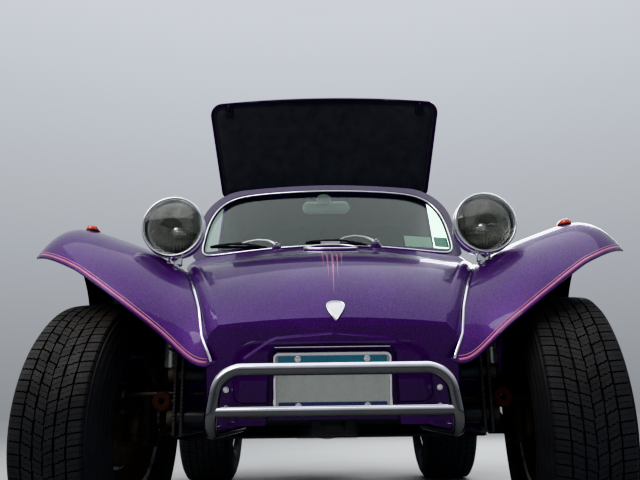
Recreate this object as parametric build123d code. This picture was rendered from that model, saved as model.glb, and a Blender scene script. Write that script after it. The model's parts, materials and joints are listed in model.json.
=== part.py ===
from build123d import *
import os
from math import atan2, cos, degrees, hypot, pi, radians, sin

# Driving dimensions in millimetres. The nose points to -Y, the left-hand side is +X, the ground is Z 0.
WHEELBASE = 2040
FRONT_Y = -WHEELBASE / 2
REAR_Y = WHEELBASE / 2
FRONT_TRACK = 1352
REAR_TRACK = 1380
BODY_SKIN = 6
FENDER_EDGE = 876
FLOOR_Z = 300
FLOOR_HALF = 556

# Tyres and wheels: overall radius, section width, tread width, wheel width, all with 15 inch beads.
BEAD_R = 190
FRONT_TYRE = dict(radius=362, section=232, tread=190, wheel=178)
REAR_TYRE = dict(radius=375, section=282, tread=240, wheel=229)
SPOKE_SLOTS = 5
STUD_CIRCLE = 102.5

# Front beam: two torsion tubes with trailing arms, and an upright kingpin on each side.
BEAM_Y = -1160
BEAM_TUBE_R = 24
BEAM_UPPER_Z = 499
BEAM_LOWER_Z = 382
BEAM_HALF = 444
TOWER_X = 427
STOP_X = 477
STOP_Z = 427
SHOCK_X = 475
KINGPIN_X = 590
KINGPIN_R = 9
HUB_R = 16
RUNNING_GAP = 0.05
STEER_AT_REST = 6.5
STEER_ARM = 105
STEER_ARM_Z = 400
TIE_ROD_Z = 424
TIE_ROD_STEP = 24
DROP_ARM_X = 150

# Windshield: its foot bows forwards in plan, and the whole screen leans back.
SCREEN_BASE_Y = -560
SCREEN_BASE_Z = 1010
SCREEN_RAKE = (0, 0.60, 0.80)
SCREEN_PLAN_R = 1400

# Roof: a fixed rear shell, and a hatch over the seats that is hinged on its front arch.
ARCH_Y = 240
ARCH_Z = 1509
HATCH_LENGTH = 514
HATCH_BOW = 26
HATCH_CROWN = 12
HATCH_RIM = 20
HATCH_CLOSED_SLOPE = 11.3
HATCH_OPEN_SLOPE = 54.8
HINGE = (0, ARCH_Y - 16, ARCH_Z - HATCH_CROWN)
HINGE_X = 380
HINGE_PIN_R = 3.5
HINGE_R = 6.5

# Steering column from the box on the beam to the wheel rim in front of the left-hand seat.
SEAT_X = 300
WHEEL_RIM_R = 170
COLUMN_TOP = (SEAT_X, -165, 880)
COLUMN_FOOT = (DROP_ARM_X + 20, -1000, 580)
COLUMN_R = 10
JACKET_R = 24


def mirrored(shape):
    """The same shape on the other side of the car."""
    return mirror(shape, about=Plane.YZ)


def both(shape):
    """A left-hand shape and its right-hand twin as one node."""
    return Compound(children=[*solids_of(shape), *solids_of(mirrored(shape))])


def solids_of(shape):
    return list(shape.solids())


def node(*shapes):
    """Several solids that don't touch, kept as one node."""
    found = [s for shape in shapes for s in solids_of(shape)]
    return found[0] if len(found) == 1 else Compound(children=found)


def clear_of(shape, *others):
    """A shape without what it shares with other parts. Loose slivers cut off on the way are dropped."""
    kept = []
    for solid in solids_of(shape):
        for other in others:
            solid = solid - other
        kept.append(sorted(solid.solids(), key=lambda piece: piece.volume)[-1])
    return node(*kept)


def rod(start, end, radius):
    """A round bar between two points."""
    a, b = Vector(*start), Vector(*end)
    along = b - a
    plane = Plane(origin=a, z_dir=along.normalized())
    return extrude(plane * Circle(radius), along.length)


def pipe(points, radii, radius, bore=0):
    """A bent tube: straight runs joined by tangent arcs."""
    path = FilletPolyline(*points, radius=radii)
    start = path @ 0
    plane = Plane(origin=start, z_dir=path % 0)
    profile = plane * Circle(radius)
    if bore:
        profile -= plane * Circle(bore)
    return sweep(profile, path=path)


def ring_x(profile, centre):
    """A solid of revolution about an axis along X, from a list of (x, radius) points or arcs."""
    face = Plane.XZ * make_face(profile)
    return Pos(*centre) * revolve(face, Axis.X, 360)


def disc_x(centre, radius, thickness, bore=0):
    """A disc or ring whose axis is along X."""
    sketch = Circle(radius)
    if bore:
        sketch -= Circle(bore)
    return Pos(*centre) * (Rot(0, 90, 0) * extrude(sketch, thickness / 2, both=True))


def outline(place, start, *steps):
    """A closed face from points and (middle, end) arcs. place turns each flat point into a point in space."""
    edges, here = [], start
    for step in [*steps, start]:
        if isinstance(step[0], tuple):
            edges.append(ThreePointArc(place(here), place(step[0]), place(step[1])))
            here = step[1]
        elif hypot(step[0] - here[0], step[1] - here[1]) > 0.01:
            edges.append(Line(place(here), place(step)))
            here = step
    return make_face(edges)


def across(y):
    """Places (x, z) points in the cross-plane at y."""
    return lambda p: (p[0], y, p[1])


def along(x):
    """Places (y, z) points in the lengthwise plane at x."""
    return lambda p: (x, p[0], p[1])


def steered(shape, side):
    """Turns a part about one kingpin to the angle at which the front wheels are parked."""
    x = side * KINGPIN_X
    return Pos(x, FRONT_Y, 0) * (Rot(0, 0, -STEER_AT_REST) * (Pos(-x, -FRONT_Y, 0) * shape))


# Wheels


def tyre(size):
    """A tyre as a thick ring with rounded shoulders and bulging walls."""
    r, half, tread, rim = size["radius"], size["section"] / 2, size["tread"] / 2, size["wheel"] / 2
    wall_r = BEAD_R + 0.42 * (r - BEAD_R)
    skin, bead = 14, BEAD_R + 0.3

    def half_wall(s):
        return [
            ((s * (half - 1), wall_r - 35), (s * half, wall_r)),
            ((s * (half - 3), r - 45), (s * (tread + 8), r - 20)),
            ((s * (tread + 4), r - 9), (s * (tread - 8), r - 4)),
        ]

    inner_wall = wall_r + 4
    lines = outline(
        lambda p: (p[0], p[1]),
        (rim - 12.4, bead),
        (rim - 11, BEAD_R + 17),
        (rim - 2, BEAD_R + 20),
        *half_wall(1),
        ((0, r), (-(tread - 8), r - 4)),
        ((-(tread + 4), r - 9), (-(tread + 8), r - 20)),
        ((-(half - 3), r - 45), (-half, wall_r)),
        ((-(half - 1), wall_r - 35), (-(rim - 2), BEAD_R + 20)),
        (-(rim - 11), BEAD_R + 17),
        (-(rim - 12.4), bead),
        (-(rim - 28), bead),
        (-(rim - 26), BEAD_R + 18),
        ((-(half - skin), inner_wall), (-(tread - 12), r - skin - 6)),
        (tread - 12, r - skin - 6),
        ((half - skin, inner_wall), (rim - 26, BEAD_R + 18)),
        (rim - 28, bead),
    )
    return revolve(Plane.XZ * lines, Axis.X, 360)


def wheel(size, face_x):
    """A slotted disc wheel with its brake drum. face_x is where the outer disc stands from the wheel's centre."""
    half = size["wheel"] / 2
    barrel = outline(
        lambda p: (p[0], p[1]),
        (-half, BEAD_R + 15),
        (-half + 10, BEAD_R + 15),
        (-half + 12, BEAD_R),
        (-half + 40, BEAD_R),
        (-half + 50, BEAD_R - 16),
        (half - 50, BEAD_R - 16),
        (half - 40, BEAD_R),
        (half - 12, BEAD_R),
        (half - 10, BEAD_R + 15),
        (half, BEAD_R + 15),
        (half, BEAD_R + 9),
        (half - 6, BEAD_R - 7),
        (half - 46, BEAD_R - 24),
        (-half + 46, BEAD_R - 24),
        (-half + 6, BEAD_R - 7),
        (-half, BEAD_R + 9),
    )
    body = revolve(Plane.XZ * barrel, Axis.X, 360)
    dish = outline(
        lambda p: (p[0], p[1]),
        (face_x - 10, 0),
        (face_x, 0),
        (face_x, 62),
        ((face_x + 22, 92), (face_x + 26, 130)),
        (face_x + 10, BEAD_R - 20),
        (face_x - 2, BEAD_R - 20),
        ((face_x + 12, 130), (face_x - 10, 66)),
    )
    disc = revolve(Plane.XZ * dish, Axis.X, 360)
    slot = Plane.YZ * SlotArc(CenterArc((0, 0), 122, -22, 44), 34)
    cutter = Pos(face_x - 40, 0, 0) * extrude(slot, 100)
    for k in range(SPOKE_SLOTS):
        disc -= Rot(360 / SPOKE_SLOTS * (k + 0.5), 0, 0) * cutter
    cap = outline(
        lambda p: (p[0], p[1]),
        (face_x - 1, 0),
        (face_x + 34, 0),
        ((face_x + 30, 22), (face_x + 20, 30)),
        (face_x - 1, 32),
    )
    centre_cap = revolve(Plane.XZ * cap, Axis.X, 360)
    nuts = [
        Rot(72 * k, 0, 0) * (Pos(face_x + 6, 0, STUD_CIRCLE / 2) * (Rot(0, 90, 0) * Cylinder(9, 14)))
        for k in range(5)
    ]
    return body + disc + centre_cap + nuts


def drum(inner_x, outer_x, bore_r):
    """A ribbed brake drum that turns with the wheel. It has the bearing bore for the stub axle."""
    lines = outline(
        lambda p: (p[0], p[1]),
        (inner_x, 128),
        (inner_x + 6, 128),
        (inner_x + 6, 122),
        (outer_x - 16, 122),
        ((outer_x - 5, 119), (outer_x, 106)),
        (outer_x, bore_r),
        (inner_x - 3, bore_r),
        (inner_x - 3, 32),
        (outer_x - 10, 36),
        (outer_x - 12, 108),
        (inner_x, 112),
    )
    return revolve(Plane.XZ * lines, Axis.X, 360)


FRONT_FACE_X = 22
REAR_FACE_X = 34
DRUM_INNER = -42


def front_wheel_parts():
    """The left front wheel and tyre about the wheel's own centre."""
    ring = wheel(FRONT_TYRE, FRONT_FACE_X) + drum(DRUM_INNER, FRONT_FACE_X - 9, HUB_R + RUNNING_GAP)
    ring -= Pos(FRONT_FACE_X - 40, 0, 0) * (Rot(0, 90, 0) * Cylinder(HUB_R + RUNNING_GAP, 90))
    return ring, tyre(FRONT_TYRE)


def rear_wheel_parts():
    ring = wheel(REAR_TYRE, REAR_FACE_X) + drum(DRUM_INNER, REAR_FACE_X - 9, HUB_R + RUNNING_GAP)
    ring -= Pos(REAR_FACE_X - 40, 0, 0) * (Rot(0, 90, 0) * Cylinder(HUB_R + RUNNING_GAP, 90))
    return ring, tyre(REAR_TYRE)


def wheels_and_tyres():
    """All eight wheel and tyre nodes, each in its place."""
    made = {}
    front = (FRONT_TRACK / 2, FRONT_Y, FRONT_TYRE["radius"])
    rear = (REAR_TRACK / 2, REAR_Y, REAR_TYRE["radius"])
    for parts, centre, end in ((front_wheel_parts(), front, "front"), (rear_wheel_parts(), rear, "rear")):
        for shape, kind in zip(parts, ("wheel", "tyre")):
            left = Pos(*centre) * shape
            right = mirrored(left)
            if end == "front":
                left, right = steered(left, 1), steered(right, -1)
            made[f"{kind}_{end}_left"] = left
            made[f"{kind}_{end}_right"] = right
    return made


# Front suspension and steering

LINK_X = 542
LINK_UPPER_Z = 452
LINK_LOWER_Z = 318
AXLE_Z = FRONT_TYRE["radius"]
STUB_START = 622


def front_beam():
    """Both torsion tubes, the shock towers and the clamps to the floor pan."""
    beam = rod((-BEAM_HALF, BEAM_Y, BEAM_UPPER_Z), (BEAM_HALF, BEAM_Y, BEAM_UPPER_Z), BEAM_TUBE_R)
    beam += rod((-BEAM_HALF, BEAM_Y, BEAM_LOWER_Z), (BEAM_HALF, BEAM_Y, BEAM_LOWER_Z), BEAM_TUBE_R)
    tower = Pos(TOWER_X, BEAM_Y - 6, 456) * Box(28, 50, 244)
    tower -= Pos(TOWER_X, BEAM_Y - 14, 456) * Box(12, 50, 260)
    for k in range(6):
        tower -= Pos(TOWER_X, BEAM_Y - 20, 356 + 40 * k) * (Rot(0, 90, 0) * Cylinder(5.5, 60))
    tower += Pos(TOWER_X + 12, BEAM_Y + 22, 572) * Box(52, 60, 8)
    clamp = Pos(46, BEAM_Y - 6, (BEAM_UPPER_Z + BEAM_LOWER_Z) / 2) * Box(26, 52, 196)
    stop_arm = rod((TOWER_X + 10, BEAM_Y - 2, STOP_Z), (STOP_X - 17, BEAM_Y - 2, STOP_Z), 7)
    side = tower + clamp + stop_arm
    beam += side + mirrored(side)
    return beam


def trailing_arm(side_z, link_z):
    """One arm from the end of a torsion tube back to the kingpin carrier."""
    start = (BEAM_HALF + 8, BEAM_Y, side_z)
    hub = Pos(*start) * (Rot(0, 90, 0) * Cylinder(21, 16))
    eye = Pos(LINK_X - 8, FRONT_Y, link_z) * (Rot(0, 90, 0) * Cylinder(19, 22))
    blade = loft([
        Pos(BEAM_HALF + 8, BEAM_Y + 10, side_z) * (Rot(90, 0, 0) * Rectangle(16, 36)),
        Pos(LINK_X - 8, FRONT_Y - 4, link_z) * (Rot(90, 0, 0) * Rectangle(18, 30)),
    ])
    return hub + blade + eye


def bump_stops():
    """Round rubber stops between the arms, on pins that stand out of the towers."""
    stop = Pos(STOP_X, BEAM_Y - 2, STOP_Z) * (Rot(90, 0, 0) * (Cylinder(28, 22) - Cylinder(9, 30)))
    stop = fillet(stop.edges().filter_by(GeomType.CIRCLE).sort_by(SortBy.LENGTH)[-2:], 8)
    return both(clear_of(stop, front_beam(), front_arms()))


def front_arms():
    """Four trailing arms and the two carriers that hold the kingpins."""
    arms = trailing_arm(BEAM_UPPER_Z, LINK_UPPER_Z) + trailing_arm(BEAM_LOWER_Z, LINK_LOWER_Z)
    carrier = Pos(LINK_X + 8, FRONT_Y, (LINK_UPPER_Z + LINK_LOWER_Z) / 2) * Box(20, 30, LINK_UPPER_Z - LINK_LOWER_Z + 40)
    carrier += Pos((LINK_X + KINGPIN_X) / 2, FRONT_Y, AXLE_Z) * Box(KINGPIN_X - LINK_X, 26, 44)
    carrier += Pos(KINGPIN_X, FRONT_Y, AXLE_Z) * Cylinder(20, 56)
    carrier -= Pos(KINGPIN_X, FRONT_Y, AXLE_Z) * Cylinder(KINGPIN_R + RUNNING_GAP, 80)
    left = arms + carrier
    return both(left)


def knuckle(pin_top):
    """A left stub axle: two ears on the kingpin, backing plate, stub shaft and steering arm."""
    ears = Pos(KINGPIN_X, FRONT_Y, AXLE_Z + 38) * Cylinder(19, 18)
    ears += Pos(KINGPIN_X, FRONT_Y, AXLE_Z - 38) * Cylinder(19, 18)
    ears += Pos(KINGPIN_X + 14, FRONT_Y, AXLE_Z + 38) * Box(24, 34, 18)
    ears += Pos(KINGPIN_X + 14, FRONT_Y, AXLE_Z - 38) * Box(24, 34, 18)
    web = Pos(KINGPIN_X + 29, FRONT_Y, AXLE_Z) * Box(10, 44, 94)
    plate = disc_x((STUB_START + 3, FRONT_Y, AXLE_Z), 118, 5)
    stub = rod((KINGPIN_X + 30, FRONT_Y, AXLE_Z), (FRONT_TRACK / 2 + 2, FRONT_Y, AXLE_Z), HUB_R)
    pin = Pos(KINGPIN_X, FRONT_Y, AXLE_Z) * Cylinder(KINGPIN_R, 100)
    arm = Pos(KINGPIN_X, FRONT_Y - STEER_ARM / 2, STEER_ARM_Z) * Box(20, STEER_ARM, 12)
    arm += Pos(KINGPIN_X, FRONT_Y - STEER_ARM, STEER_ARM_Z) * Cylinder(14, 12)
    arm += rod((KINGPIN_X, FRONT_Y - STEER_ARM, STEER_ARM_Z), (KINGPIN_X, FRONT_Y - STEER_ARM, pin_top), 6)
    return ears + web + plate + stub + pin + arm


def steer_offset():
    """How far the ends of the steering arms move sideways and fore and aft from straight ahead to rest."""
    a = radians(-STEER_AT_REST)
    return STEER_ARM * sin(a), STEER_ARM * (1 - cos(a))


def tie_rod(side):
    """One tie rod, from the drop arm's end to a steering arm's end. It stays parallel to itself."""
    dx, dy = steer_offset()
    y = FRONT_Y - STEER_ARM + dy
    inner = DROP_ARM_X + dx
    outer = side * KINGPIN_X + dx
    z = TIE_ROD_Z if side > 0 else TIE_ROD_Z + TIE_ROD_STEP
    end = side if outer > inner else -1
    body = rod((inner + end * 12, y, z), (outer - end * 12, y, z), 8)
    for x, pin_r in ((inner, 8 + RUNNING_GAP), (outer, 6 + RUNNING_GAP)):
        body += Pos(x, y, z) * Cylinder(15, 20)
        body -= Pos(x, y, z) * Cylinder(pin_r, 60)
    return body


DROP_ARM_Z = 476
BOX_Z = 530


def drop_arm():
    """The arm under the steering box. Both tie rods hang on the long pin at its end."""
    x, y = DROP_ARM_X, FRONT_Y - STEER_ARM
    arm = Pos(x, FRONT_Y, DROP_ARM_Z) * Cylinder(17, 12)
    arm += Pos(x, FRONT_Y - STEER_ARM / 2, DROP_ARM_Z) * Box(22, STEER_ARM, 12)
    arm += Pos(x, y, DROP_ARM_Z) * Cylinder(16, 12)
    arm += rod((x, y, TIE_ROD_Z - 14), (x, y, DROP_ARM_Z), 8)
    arm += rod((x, FRONT_Y, DROP_ARM_Z), (x, FRONT_Y, BOX_Z), 11)
    turn = Pos(x, FRONT_Y, 0) * Rot(0, 0, -STEER_AT_REST) * Pos(-x, -FRONT_Y, 0)
    return turn * arm


def column_plane(at):
    """A plane across the steering column at one of its ends."""
    axis = (Vector(*COLUMN_TOP) - Vector(*COLUMN_FOOT)).normalized()
    return Plane(origin=at, z_dir=axis, x_dir=(1, 0, 0))


def steering_box():
    """The steering box behind the beam, with the collar that takes the foot of the column shaft."""
    box = Pos(DROP_ARM_X, FRONT_Y - 10, BOX_Z) * Box(84, 110, 70)
    box = fillet(box.edges().filter_by(Axis.Z), 18)
    box += Pos(DROP_ARM_X, FRONT_Y, BOX_Z - 38) * Cylinder(23, 10)
    box += Pos(DROP_ARM_X, BEAM_Y + 50, BEAM_UPPER_Z) * Box(54, 90, 26)
    collar = column_plane(COLUMN_FOOT) * (Pos(0, 0, -4) * Cylinder(20, 70))
    box += collar
    box -= Pos(DROP_ARM_X, FRONT_Y, BOX_Z - 20) * Cylinder(11 + RUNNING_GAP, 60)
    box -= column_plane(COLUMN_FOOT) * (Pos(0, 0, 25) * Cylinder(COLUMN_R + RUNNING_GAP, 50))
    tube = rod((-10, BEAM_Y, BEAM_UPPER_Z), (300, BEAM_Y, BEAM_UPPER_Z), BEAM_TUBE_R)
    return box - tube


def front_shocks():
    """Telescopic shock absorbers between the towers and the lower arms."""
    x, y, foot, top = SHOCK_X, BEAM_Y + 82, 334, 672
    body = rod((x, y, 508), (x, y, top), 21) + rod((x, y, foot), (x, y, 500), 13.5)
    body += rod((x, y, 496), (x, y, 512), 7)
    body += rod((x - 24, y, foot + 8), (x + 24, y, foot + 8), 17)
    body += rod((x, y, foot + 8), (x + 44, y, foot + 8), 7)
    return both(clear_of(body, front_arms(), front_beam()))


# Floor pan and rear axle


def floor_pan():
    """The pressed floor with its stiffening ribs, its tunnel and the frame head that carries the beam."""
    half, front, back = FLOOR_HALF, -595, 640
    plan = make_face(Polyline(
        (-half, front), (half, front), (half, 440), (496, back), (-496, back), (-half, 440), (-half, front)))
    pan = extrude(Pos(0, 0, FLOOR_Z) * plan, 8)
    for k in range(4):
        pan += Pos(-460 + 90 * k, -60, FLOOR_Z + 8) * Box(34, 880, 12)
        pan += Pos(460 - 90 * k, -60, FLOOR_Z + 8) * Box(34, 880, 12)
    tunnel = outline(
        across(-600), (-72, FLOOR_Z), (-72, FLOOR_Z + 90), ((0, FLOOR_Z + 150), (72, FLOOR_Z + 90)), (72, FLOOR_Z)
    )
    pan += extrude(tunnel, 1240, dir=(0, 1, 0))
    head = loft([
        Pos(0, BEAM_Y + 30, FLOOR_Z + 70) * (Rot(90, 0, 0) * Rectangle(118, 84)),
        Pos(0, -600, FLOOR_Z + 60) * (Rot(90, 0, 0) * Rectangle(220, 110)),
    ])
    return pan + head


def torsion_housing():
    """The cross tube behind the floor with the two horns that carry the gearbox."""
    housing = rod((-520, 690, 372), (520, 690, 372), 42)
    horn = pipe([(70, 690, 372), (196, 760, 372), (196, 1050, 372)], [70], 24)
    return housing + horn + mirrored(horn)


def rear_axle():
    """Torsion housing, horns, spring plates and swing-axle tubes with the stub shafts."""
    plate = Pos(524, 0, 0) * extrude(
        outline(along(0), (650, 340), (650, 404), (1000, 410), (1040, 396), (1040, 354), (1000, 340)), 8, dir=(1, 0, 0)
    )
    tube = rod((90, REAR_Y, 375), (600, REAR_Y, 375), 34)
    flange = disc_x((600, REAR_Y, 375), 62, 24)
    shaft = rod((600, REAR_Y, 375), (REAR_TRACK / 2 + 2, REAR_Y, 375), HUB_R)
    backing = disc_x((REAR_TRACK / 2 + DRUM_INNER - 14, REAR_Y, 375), 118, 5)
    side = tube + flange + shaft + backing + plate
    return clear_of(torsion_housing() + side + mirrored(side), transaxle())


def rear_shocks():
    """Upright shock absorbers behind the axle, from the spring plates up to the body."""
    low, bend, top = (496, 1074, 420), (490, 1078, 566), (484, 1082, 742)
    shock = rod(low, bend, 18) + rod(bend, top, 24)
    shock += rod((508, 1040, 392), (500, 1074, 432), 12)
    return both(shock)


def transaxle():
    """Gearbox and final drive in one casting, with side bells at the axle."""
    case = loft([
        Pos(0, 740, 375) * (Rot(90, 0, 0) * Circle(62)),
        Pos(0, 900, 375) * (Rot(90, 0, 0) * Circle(92)),
    ], ruled=True)
    bell = loft([
        Pos(0, 900, 375) * (Rot(90, 0, 0) * Circle(92)),
        Pos(0, 1130, 385) * (Rot(90, 0, 0) * Circle(165)),
    ], ruled=True)
    side = rod((-118, REAR_Y, 375), (118, REAR_Y, 375), 78)
    return case + bell + side


# Engine

ENGINE_FRONT = 1132
ENGINE_Z = 390


def engine_case():
    """The crankcase with its sump, front flange, pulley hub and oil filler neck."""
    flange = Pos(0, ENGINE_FRONT + 7, ENGINE_Z) * (Rot(90, 0, 0) * Cylinder(165, 14))
    case = Pos(0, ENGINE_FRONT + 160, ENGINE_Z) * Box(190, 300, 200)
    sump = loft([
        Pos(0, ENGINE_FRONT + 140, ENGINE_Z - 90) * Rectangle(190, 230),
        Pos(0, ENGINE_FRONT + 140, ENGINE_Z - 130) * Rectangle(130, 180),
    ])
    filler = Pos(70, ENGINE_FRONT + 290, ENGINE_Z + 150) * Cylinder(26, 130)
    return flange + case + sump + filler


def cylinder_banks():
    """Two pairs of finned barrels with heads and rocker covers."""
    bank = None
    for y in (ENGINE_FRONT + 95, ENGINE_FRONT + 225):
        barrel = rod((95, y, ENGINE_Z), (215, y, ENGINE_Z), 46)
        for k in range(7):
            barrel += disc_x((108 + 16 * k, y, ENGINE_Z), 58, 4)
        bank = barrel if bank is None else bank + barrel
    head = Pos(245, ENGINE_FRONT + 160, ENGINE_Z) * Box(64, 262, 150)
    for k in range(5):
        head += Pos(245, ENGINE_FRONT + 160, ENGINE_Z + 44 - 20 * k) * Box(72, 276, 5)
    cover = Pos(292, ENGINE_FRONT + 160, ENGINE_Z - 8) * Box(34, 236, 84)
    cover = fillet(cover.faces().sort_by(Axis.X)[-1].edges(), 14)
    bank = bank + head + cover
    return both(bank)


def fan_shroud():
    """The upright cooling shroud with its round fan inlet and the tin over the cylinders."""
    front = outline(
        across(ENGINE_FRONT + 150),
        (-250, ENGINE_Z + 98),
        (-250, ENGINE_Z + 190),
        ((-225, ENGINE_Z + 300), (-110, ENGINE_Z + 400)),
        ((0, ENGINE_Z + 436), (110, ENGINE_Z + 400)),
        ((225, ENGINE_Z + 300), (250, ENGINE_Z + 190)),
        (250, ENGINE_Z + 98),
    )
    shroud = extrude(front, 96, dir=(0, 1, 0))
    fan_hole = Pos(0, ENGINE_FRONT + 150, ENGINE_Z + 255) * (Rot(90, 0, 0) * Cylinder(118, 60))
    shroud -= fan_hole
    tin = Pos(218, ENGINE_FRONT + 160, ENGINE_Z + 88) * Box(170, 300, 10)
    return clear_of(shroud + tin + mirrored(tin), engine_case())


def generator():
    """Generator on its stand, with the two pulleys and the belt between them as one plain body."""
    y = ENGINE_FRONT + 300
    body = Pos(0, y - 20, ENGINE_Z + 205) * (Rot(90, 0, 0) * Cylinder(52, 78))
    body += Pos(0, y + 27, ENGINE_Z + 205) * (Rot(90, 0, 0) * Cylinder(48, 20))
    body += Pos(0, y + 27, ENGINE_Z) * (Rot(90, 0, 0) * Cylinder(84, 20))
    belt = make_face(Polyline((-80, 0), (-45, 205), (45, 205), (80, 0), (-80, 0)))
    body += Pos(0, y + 33, ENGINE_Z) * (Rot(90, 0, 0) * extrude(belt, 10))
    stand = Pos(0, y - 20, ENGINE_Z + 126) * Box(70, 70, 70)
    body += Pos(0, y + 10, ENGINE_Z) * (Rot(90, 0, 0) * Cylinder(30, 20))
    return clear_of(body + stand, engine_case(), fan_shroud())


def carburettor():
    """Intake manifold, carburettor and round air cleaner on top of the engine."""
    y = ENGINE_FRONT + 70
    manifold = pipe(
        [(-248, y + 30, ENGINE_Z + 74), (-248, y + 30, ENGINE_Z + 150), (0, y - 10, ENGINE_Z + 170),
         (248, y + 30, ENGINE_Z + 150), (248, y + 30, ENGINE_Z + 74)],
        [36, 160, 36], 15)
    body = Pos(0, y - 10, ENGINE_Z + 215) * Box(56, 62, 100)
    cleaner = Pos(0, y - 10, ENGINE_Z + 302) * Cylinder(92, 62)
    cleaner = fillet(cleaner.edges().filter_by(GeomType.CIRCLE), 8)
    neck = Pos(0, y - 10, ENGINE_Z + 268) * Cylinder(24, 30)
    return clear_of(manifold + body + neck + cleaner, fan_shroud(), cylinder_banks())


def exhaust():
    """Header pipes from both heads into one muffler with a turned-down tail."""
    y0, y1, z = ENGINE_FRONT + 225, ENGINE_FRONT + 302, 252
    muffler = rod((-200, y1, z), (200, y1, z), 44)
    left = pipe([(246, y0, 330), (246, y0, z), (246, y1, z), (150, y1, z)], [34, 34], 19)
    tail = pipe([(-120, y1, z), (-120, y1 + 56, z), (-120, y1 + 62, z + 60)], [20], 17, 14)
    return clear_of(muffler + left + mirrored(left) + tail, cylinder_banks(), engine_case())


# Body shells. Each table row is one cross-section; the shell is the loft through its rows.

# y, half width and height of the hood's edge, height of its crown, half width and height of the
# fender seam, half width at the bottom, height of the bottom
NOSE_ROWS = [
    (-1316, 300, 613, 628, 321, 532, 314, 372),
    (-1225, 338, 722, 748, 374, 694, 336, 356),
    (-1080, 390, 820, 850, 434, 812, 362, 342),
    (-900, 444, 868, 912, 492, 840, 380, 330),
    (-600, 505, 962, 1008, 560, 890, 392, 316),
]


def body_section(row, skin=0, drop=0):
    """One cross-section of a shell: crowned top, rounded shoulder, seam ledge, side and bottom."""
    y, edge, edge_z, crown, seam, seam_z, foot, foot_z = row
    e, ez, c = edge - skin, edge_z - skin, crown - skin
    s, sz, f, fz = seam - skin, seam_z - 0.6 * skin, foot - skin, foot_z + skin - drop
    mid = ((e + s) / 2 + 8, (ez + sz) / 2 + 10)
    return outline(
        across(y),
        (e, ez),
        ((0, c), (-e, ez)),
        ((-mid[0], mid[1]), (-s, sz)),
        (-f, fz),
        (f, fz),
        (s, sz),
        (mid, (e, ez)),
    )


def nose_solid(skin=0, drop=0):
    return loft([body_section(r, skin, drop) for r in NOSE_ROWS])


def nose_front_cut():
    """What lies in front of the undercut front panel."""
    return extrude(
        outline(along(-700), (-1500, 1000), (-1312, 1000), (-1312, 612), (-1252, 372), (-1252, 200), (-1500, 200)),
        1400, dir=(1, 0, 0))


RECESS_TILT = -14.0


def front_panel_frame():
    """The plane of the front panel: its origin is the middle of the panel's lower edge."""
    return Plane(origin=(0, -1252, 372), x_dir=(1, 0, 0), z_dir=(0, -0.970, -0.2425))


PLATE_W = 312
PLATE_H = 152
PLATE_V = 97
WELL_DEPTH = 38
MOULDING = 10


def well_face(grow=0):
    """The arch-topped recess for the number plate, in the front panel's plane and open at the bottom."""
    w, h = 168 + grow, 205 + grow
    face = make_face(Polyline((-w - 12, -20), (w + 12, -20), (w, h - 4), (0, h), (-w, h - 4), (-w - 12, -20)))
    tops = [v for v in face.vertices() if v.Y > 100 and abs(v.X) > 100]
    return fillet(tops, 34)


def moulding_face():
    """The raised arch round the recess. Its two legs end in round feet beside the number plate."""
    half = [(186, 44), (268, 44), (262, 128), (238, 168), (168, 214), (148, 222)]
    points = [*half, (0, 234), *[(-x, v) for x, v in reversed(half)]]
    face = make_face(Polyline(*points, points[0]))
    feet = [v for v in face.vertices() if v.Y < 50]
    face = fillet(feet, 30)
    crown = [v for v in face.vertices() if v.Y > 120 and abs(v.X) > 1]
    return fillet(crown, 14)


def wheel_notch():
    """The open notch in the nose's sides through which the beam and the tie rods pass."""
    side = outline(
        along(-700),
        (-1204, 200),
        (-1204, 500),
        ((-1194, 530), (-1164, 540)),
        (-1120, 540),
        ((-1090, 530), (-1078, 500)),
        (-1078, 200),
    )
    return extrude(side, 1400, dir=(1, 0, 0)) - Pos(0, -1140, 400) * Box(560, 200, 500)


def nose_shell():
    """Hood, sides and undercut front panel with the number plate recess and its raised arch."""
    outer = nose_solid() - nose_front_cut()
    inner = nose_solid(BODY_SKIN, 80)
    inner -= Pos(0, BODY_SKIN + 2, 0) * nose_front_cut()
    shell = outer - inner
    shell -= Pos(0, -590.3, 600) * Box(1300, 20, 1000)
    frame = front_panel_frame()
    shell += extrude(frame * moulding_face(), MOULDING, taper=32)
    shell += extrude(frame * well_face(6), -WELL_DEPTH - 6) & Pos(0, -1200, 480) * Box(600, 260, 216)
    shell -= extrude(frame * well_face(), -WELL_DEPTH)
    shell -= extrude(frame * well_face(), MOULDING + 5)
    return clear_of(shell, wheel_notch())


TUB_ROWS = [
    (-600, 505, 962, 1008, 560, 890, 572, 300),
    (-400, 545, 1002, 1032, 580, 930, 590, 296),
    (100, 552, 985, 1010, 586, 930, 596, 296),
    (600, 540, 965, 990, 575, 925, 585, 300),
]


def tub_solid(skin=0):
    return loft([body_section(r, skin) for r in TUB_ROWS])


def side_scoop():
    """The cut-down in both sides where one steps over into the seats."""
    face = outline(
        along(-800),
        (-330, 1200),
        (-330, 960),
        ((-290, 800), (-170, 745)),
        (60, 735),
        ((190, 790), (232, 960)),
        (232, 1200),
    )
    return extrude(face, 1600, dir=(1, 0, 0))


def cockpit_tub():
    """Cowl top, side walls and rear bulkhead round the seats."""
    shell = tub_solid() - tub_solid(BODY_SKIN + 6)
    shell -= Pos(0, 100, 310) * Box(1160, 1500, 40)
    opening = outline(
        lambda p: (p[0], p[1], 0),
        (-520, -395),
        (520, -395),
        (540, 450),
        (-540, 450),
    )
    shell -= extrude(Pos(0, 0, 600) * opening, 700)
    shell -= side_scoop()
    bulkhead = Pos(0, 470, 620) * Box(1120, 8, 640)
    shell += bulkhead & tub_solid(2)
    return clear_of(shell, floor_pan())


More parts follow.
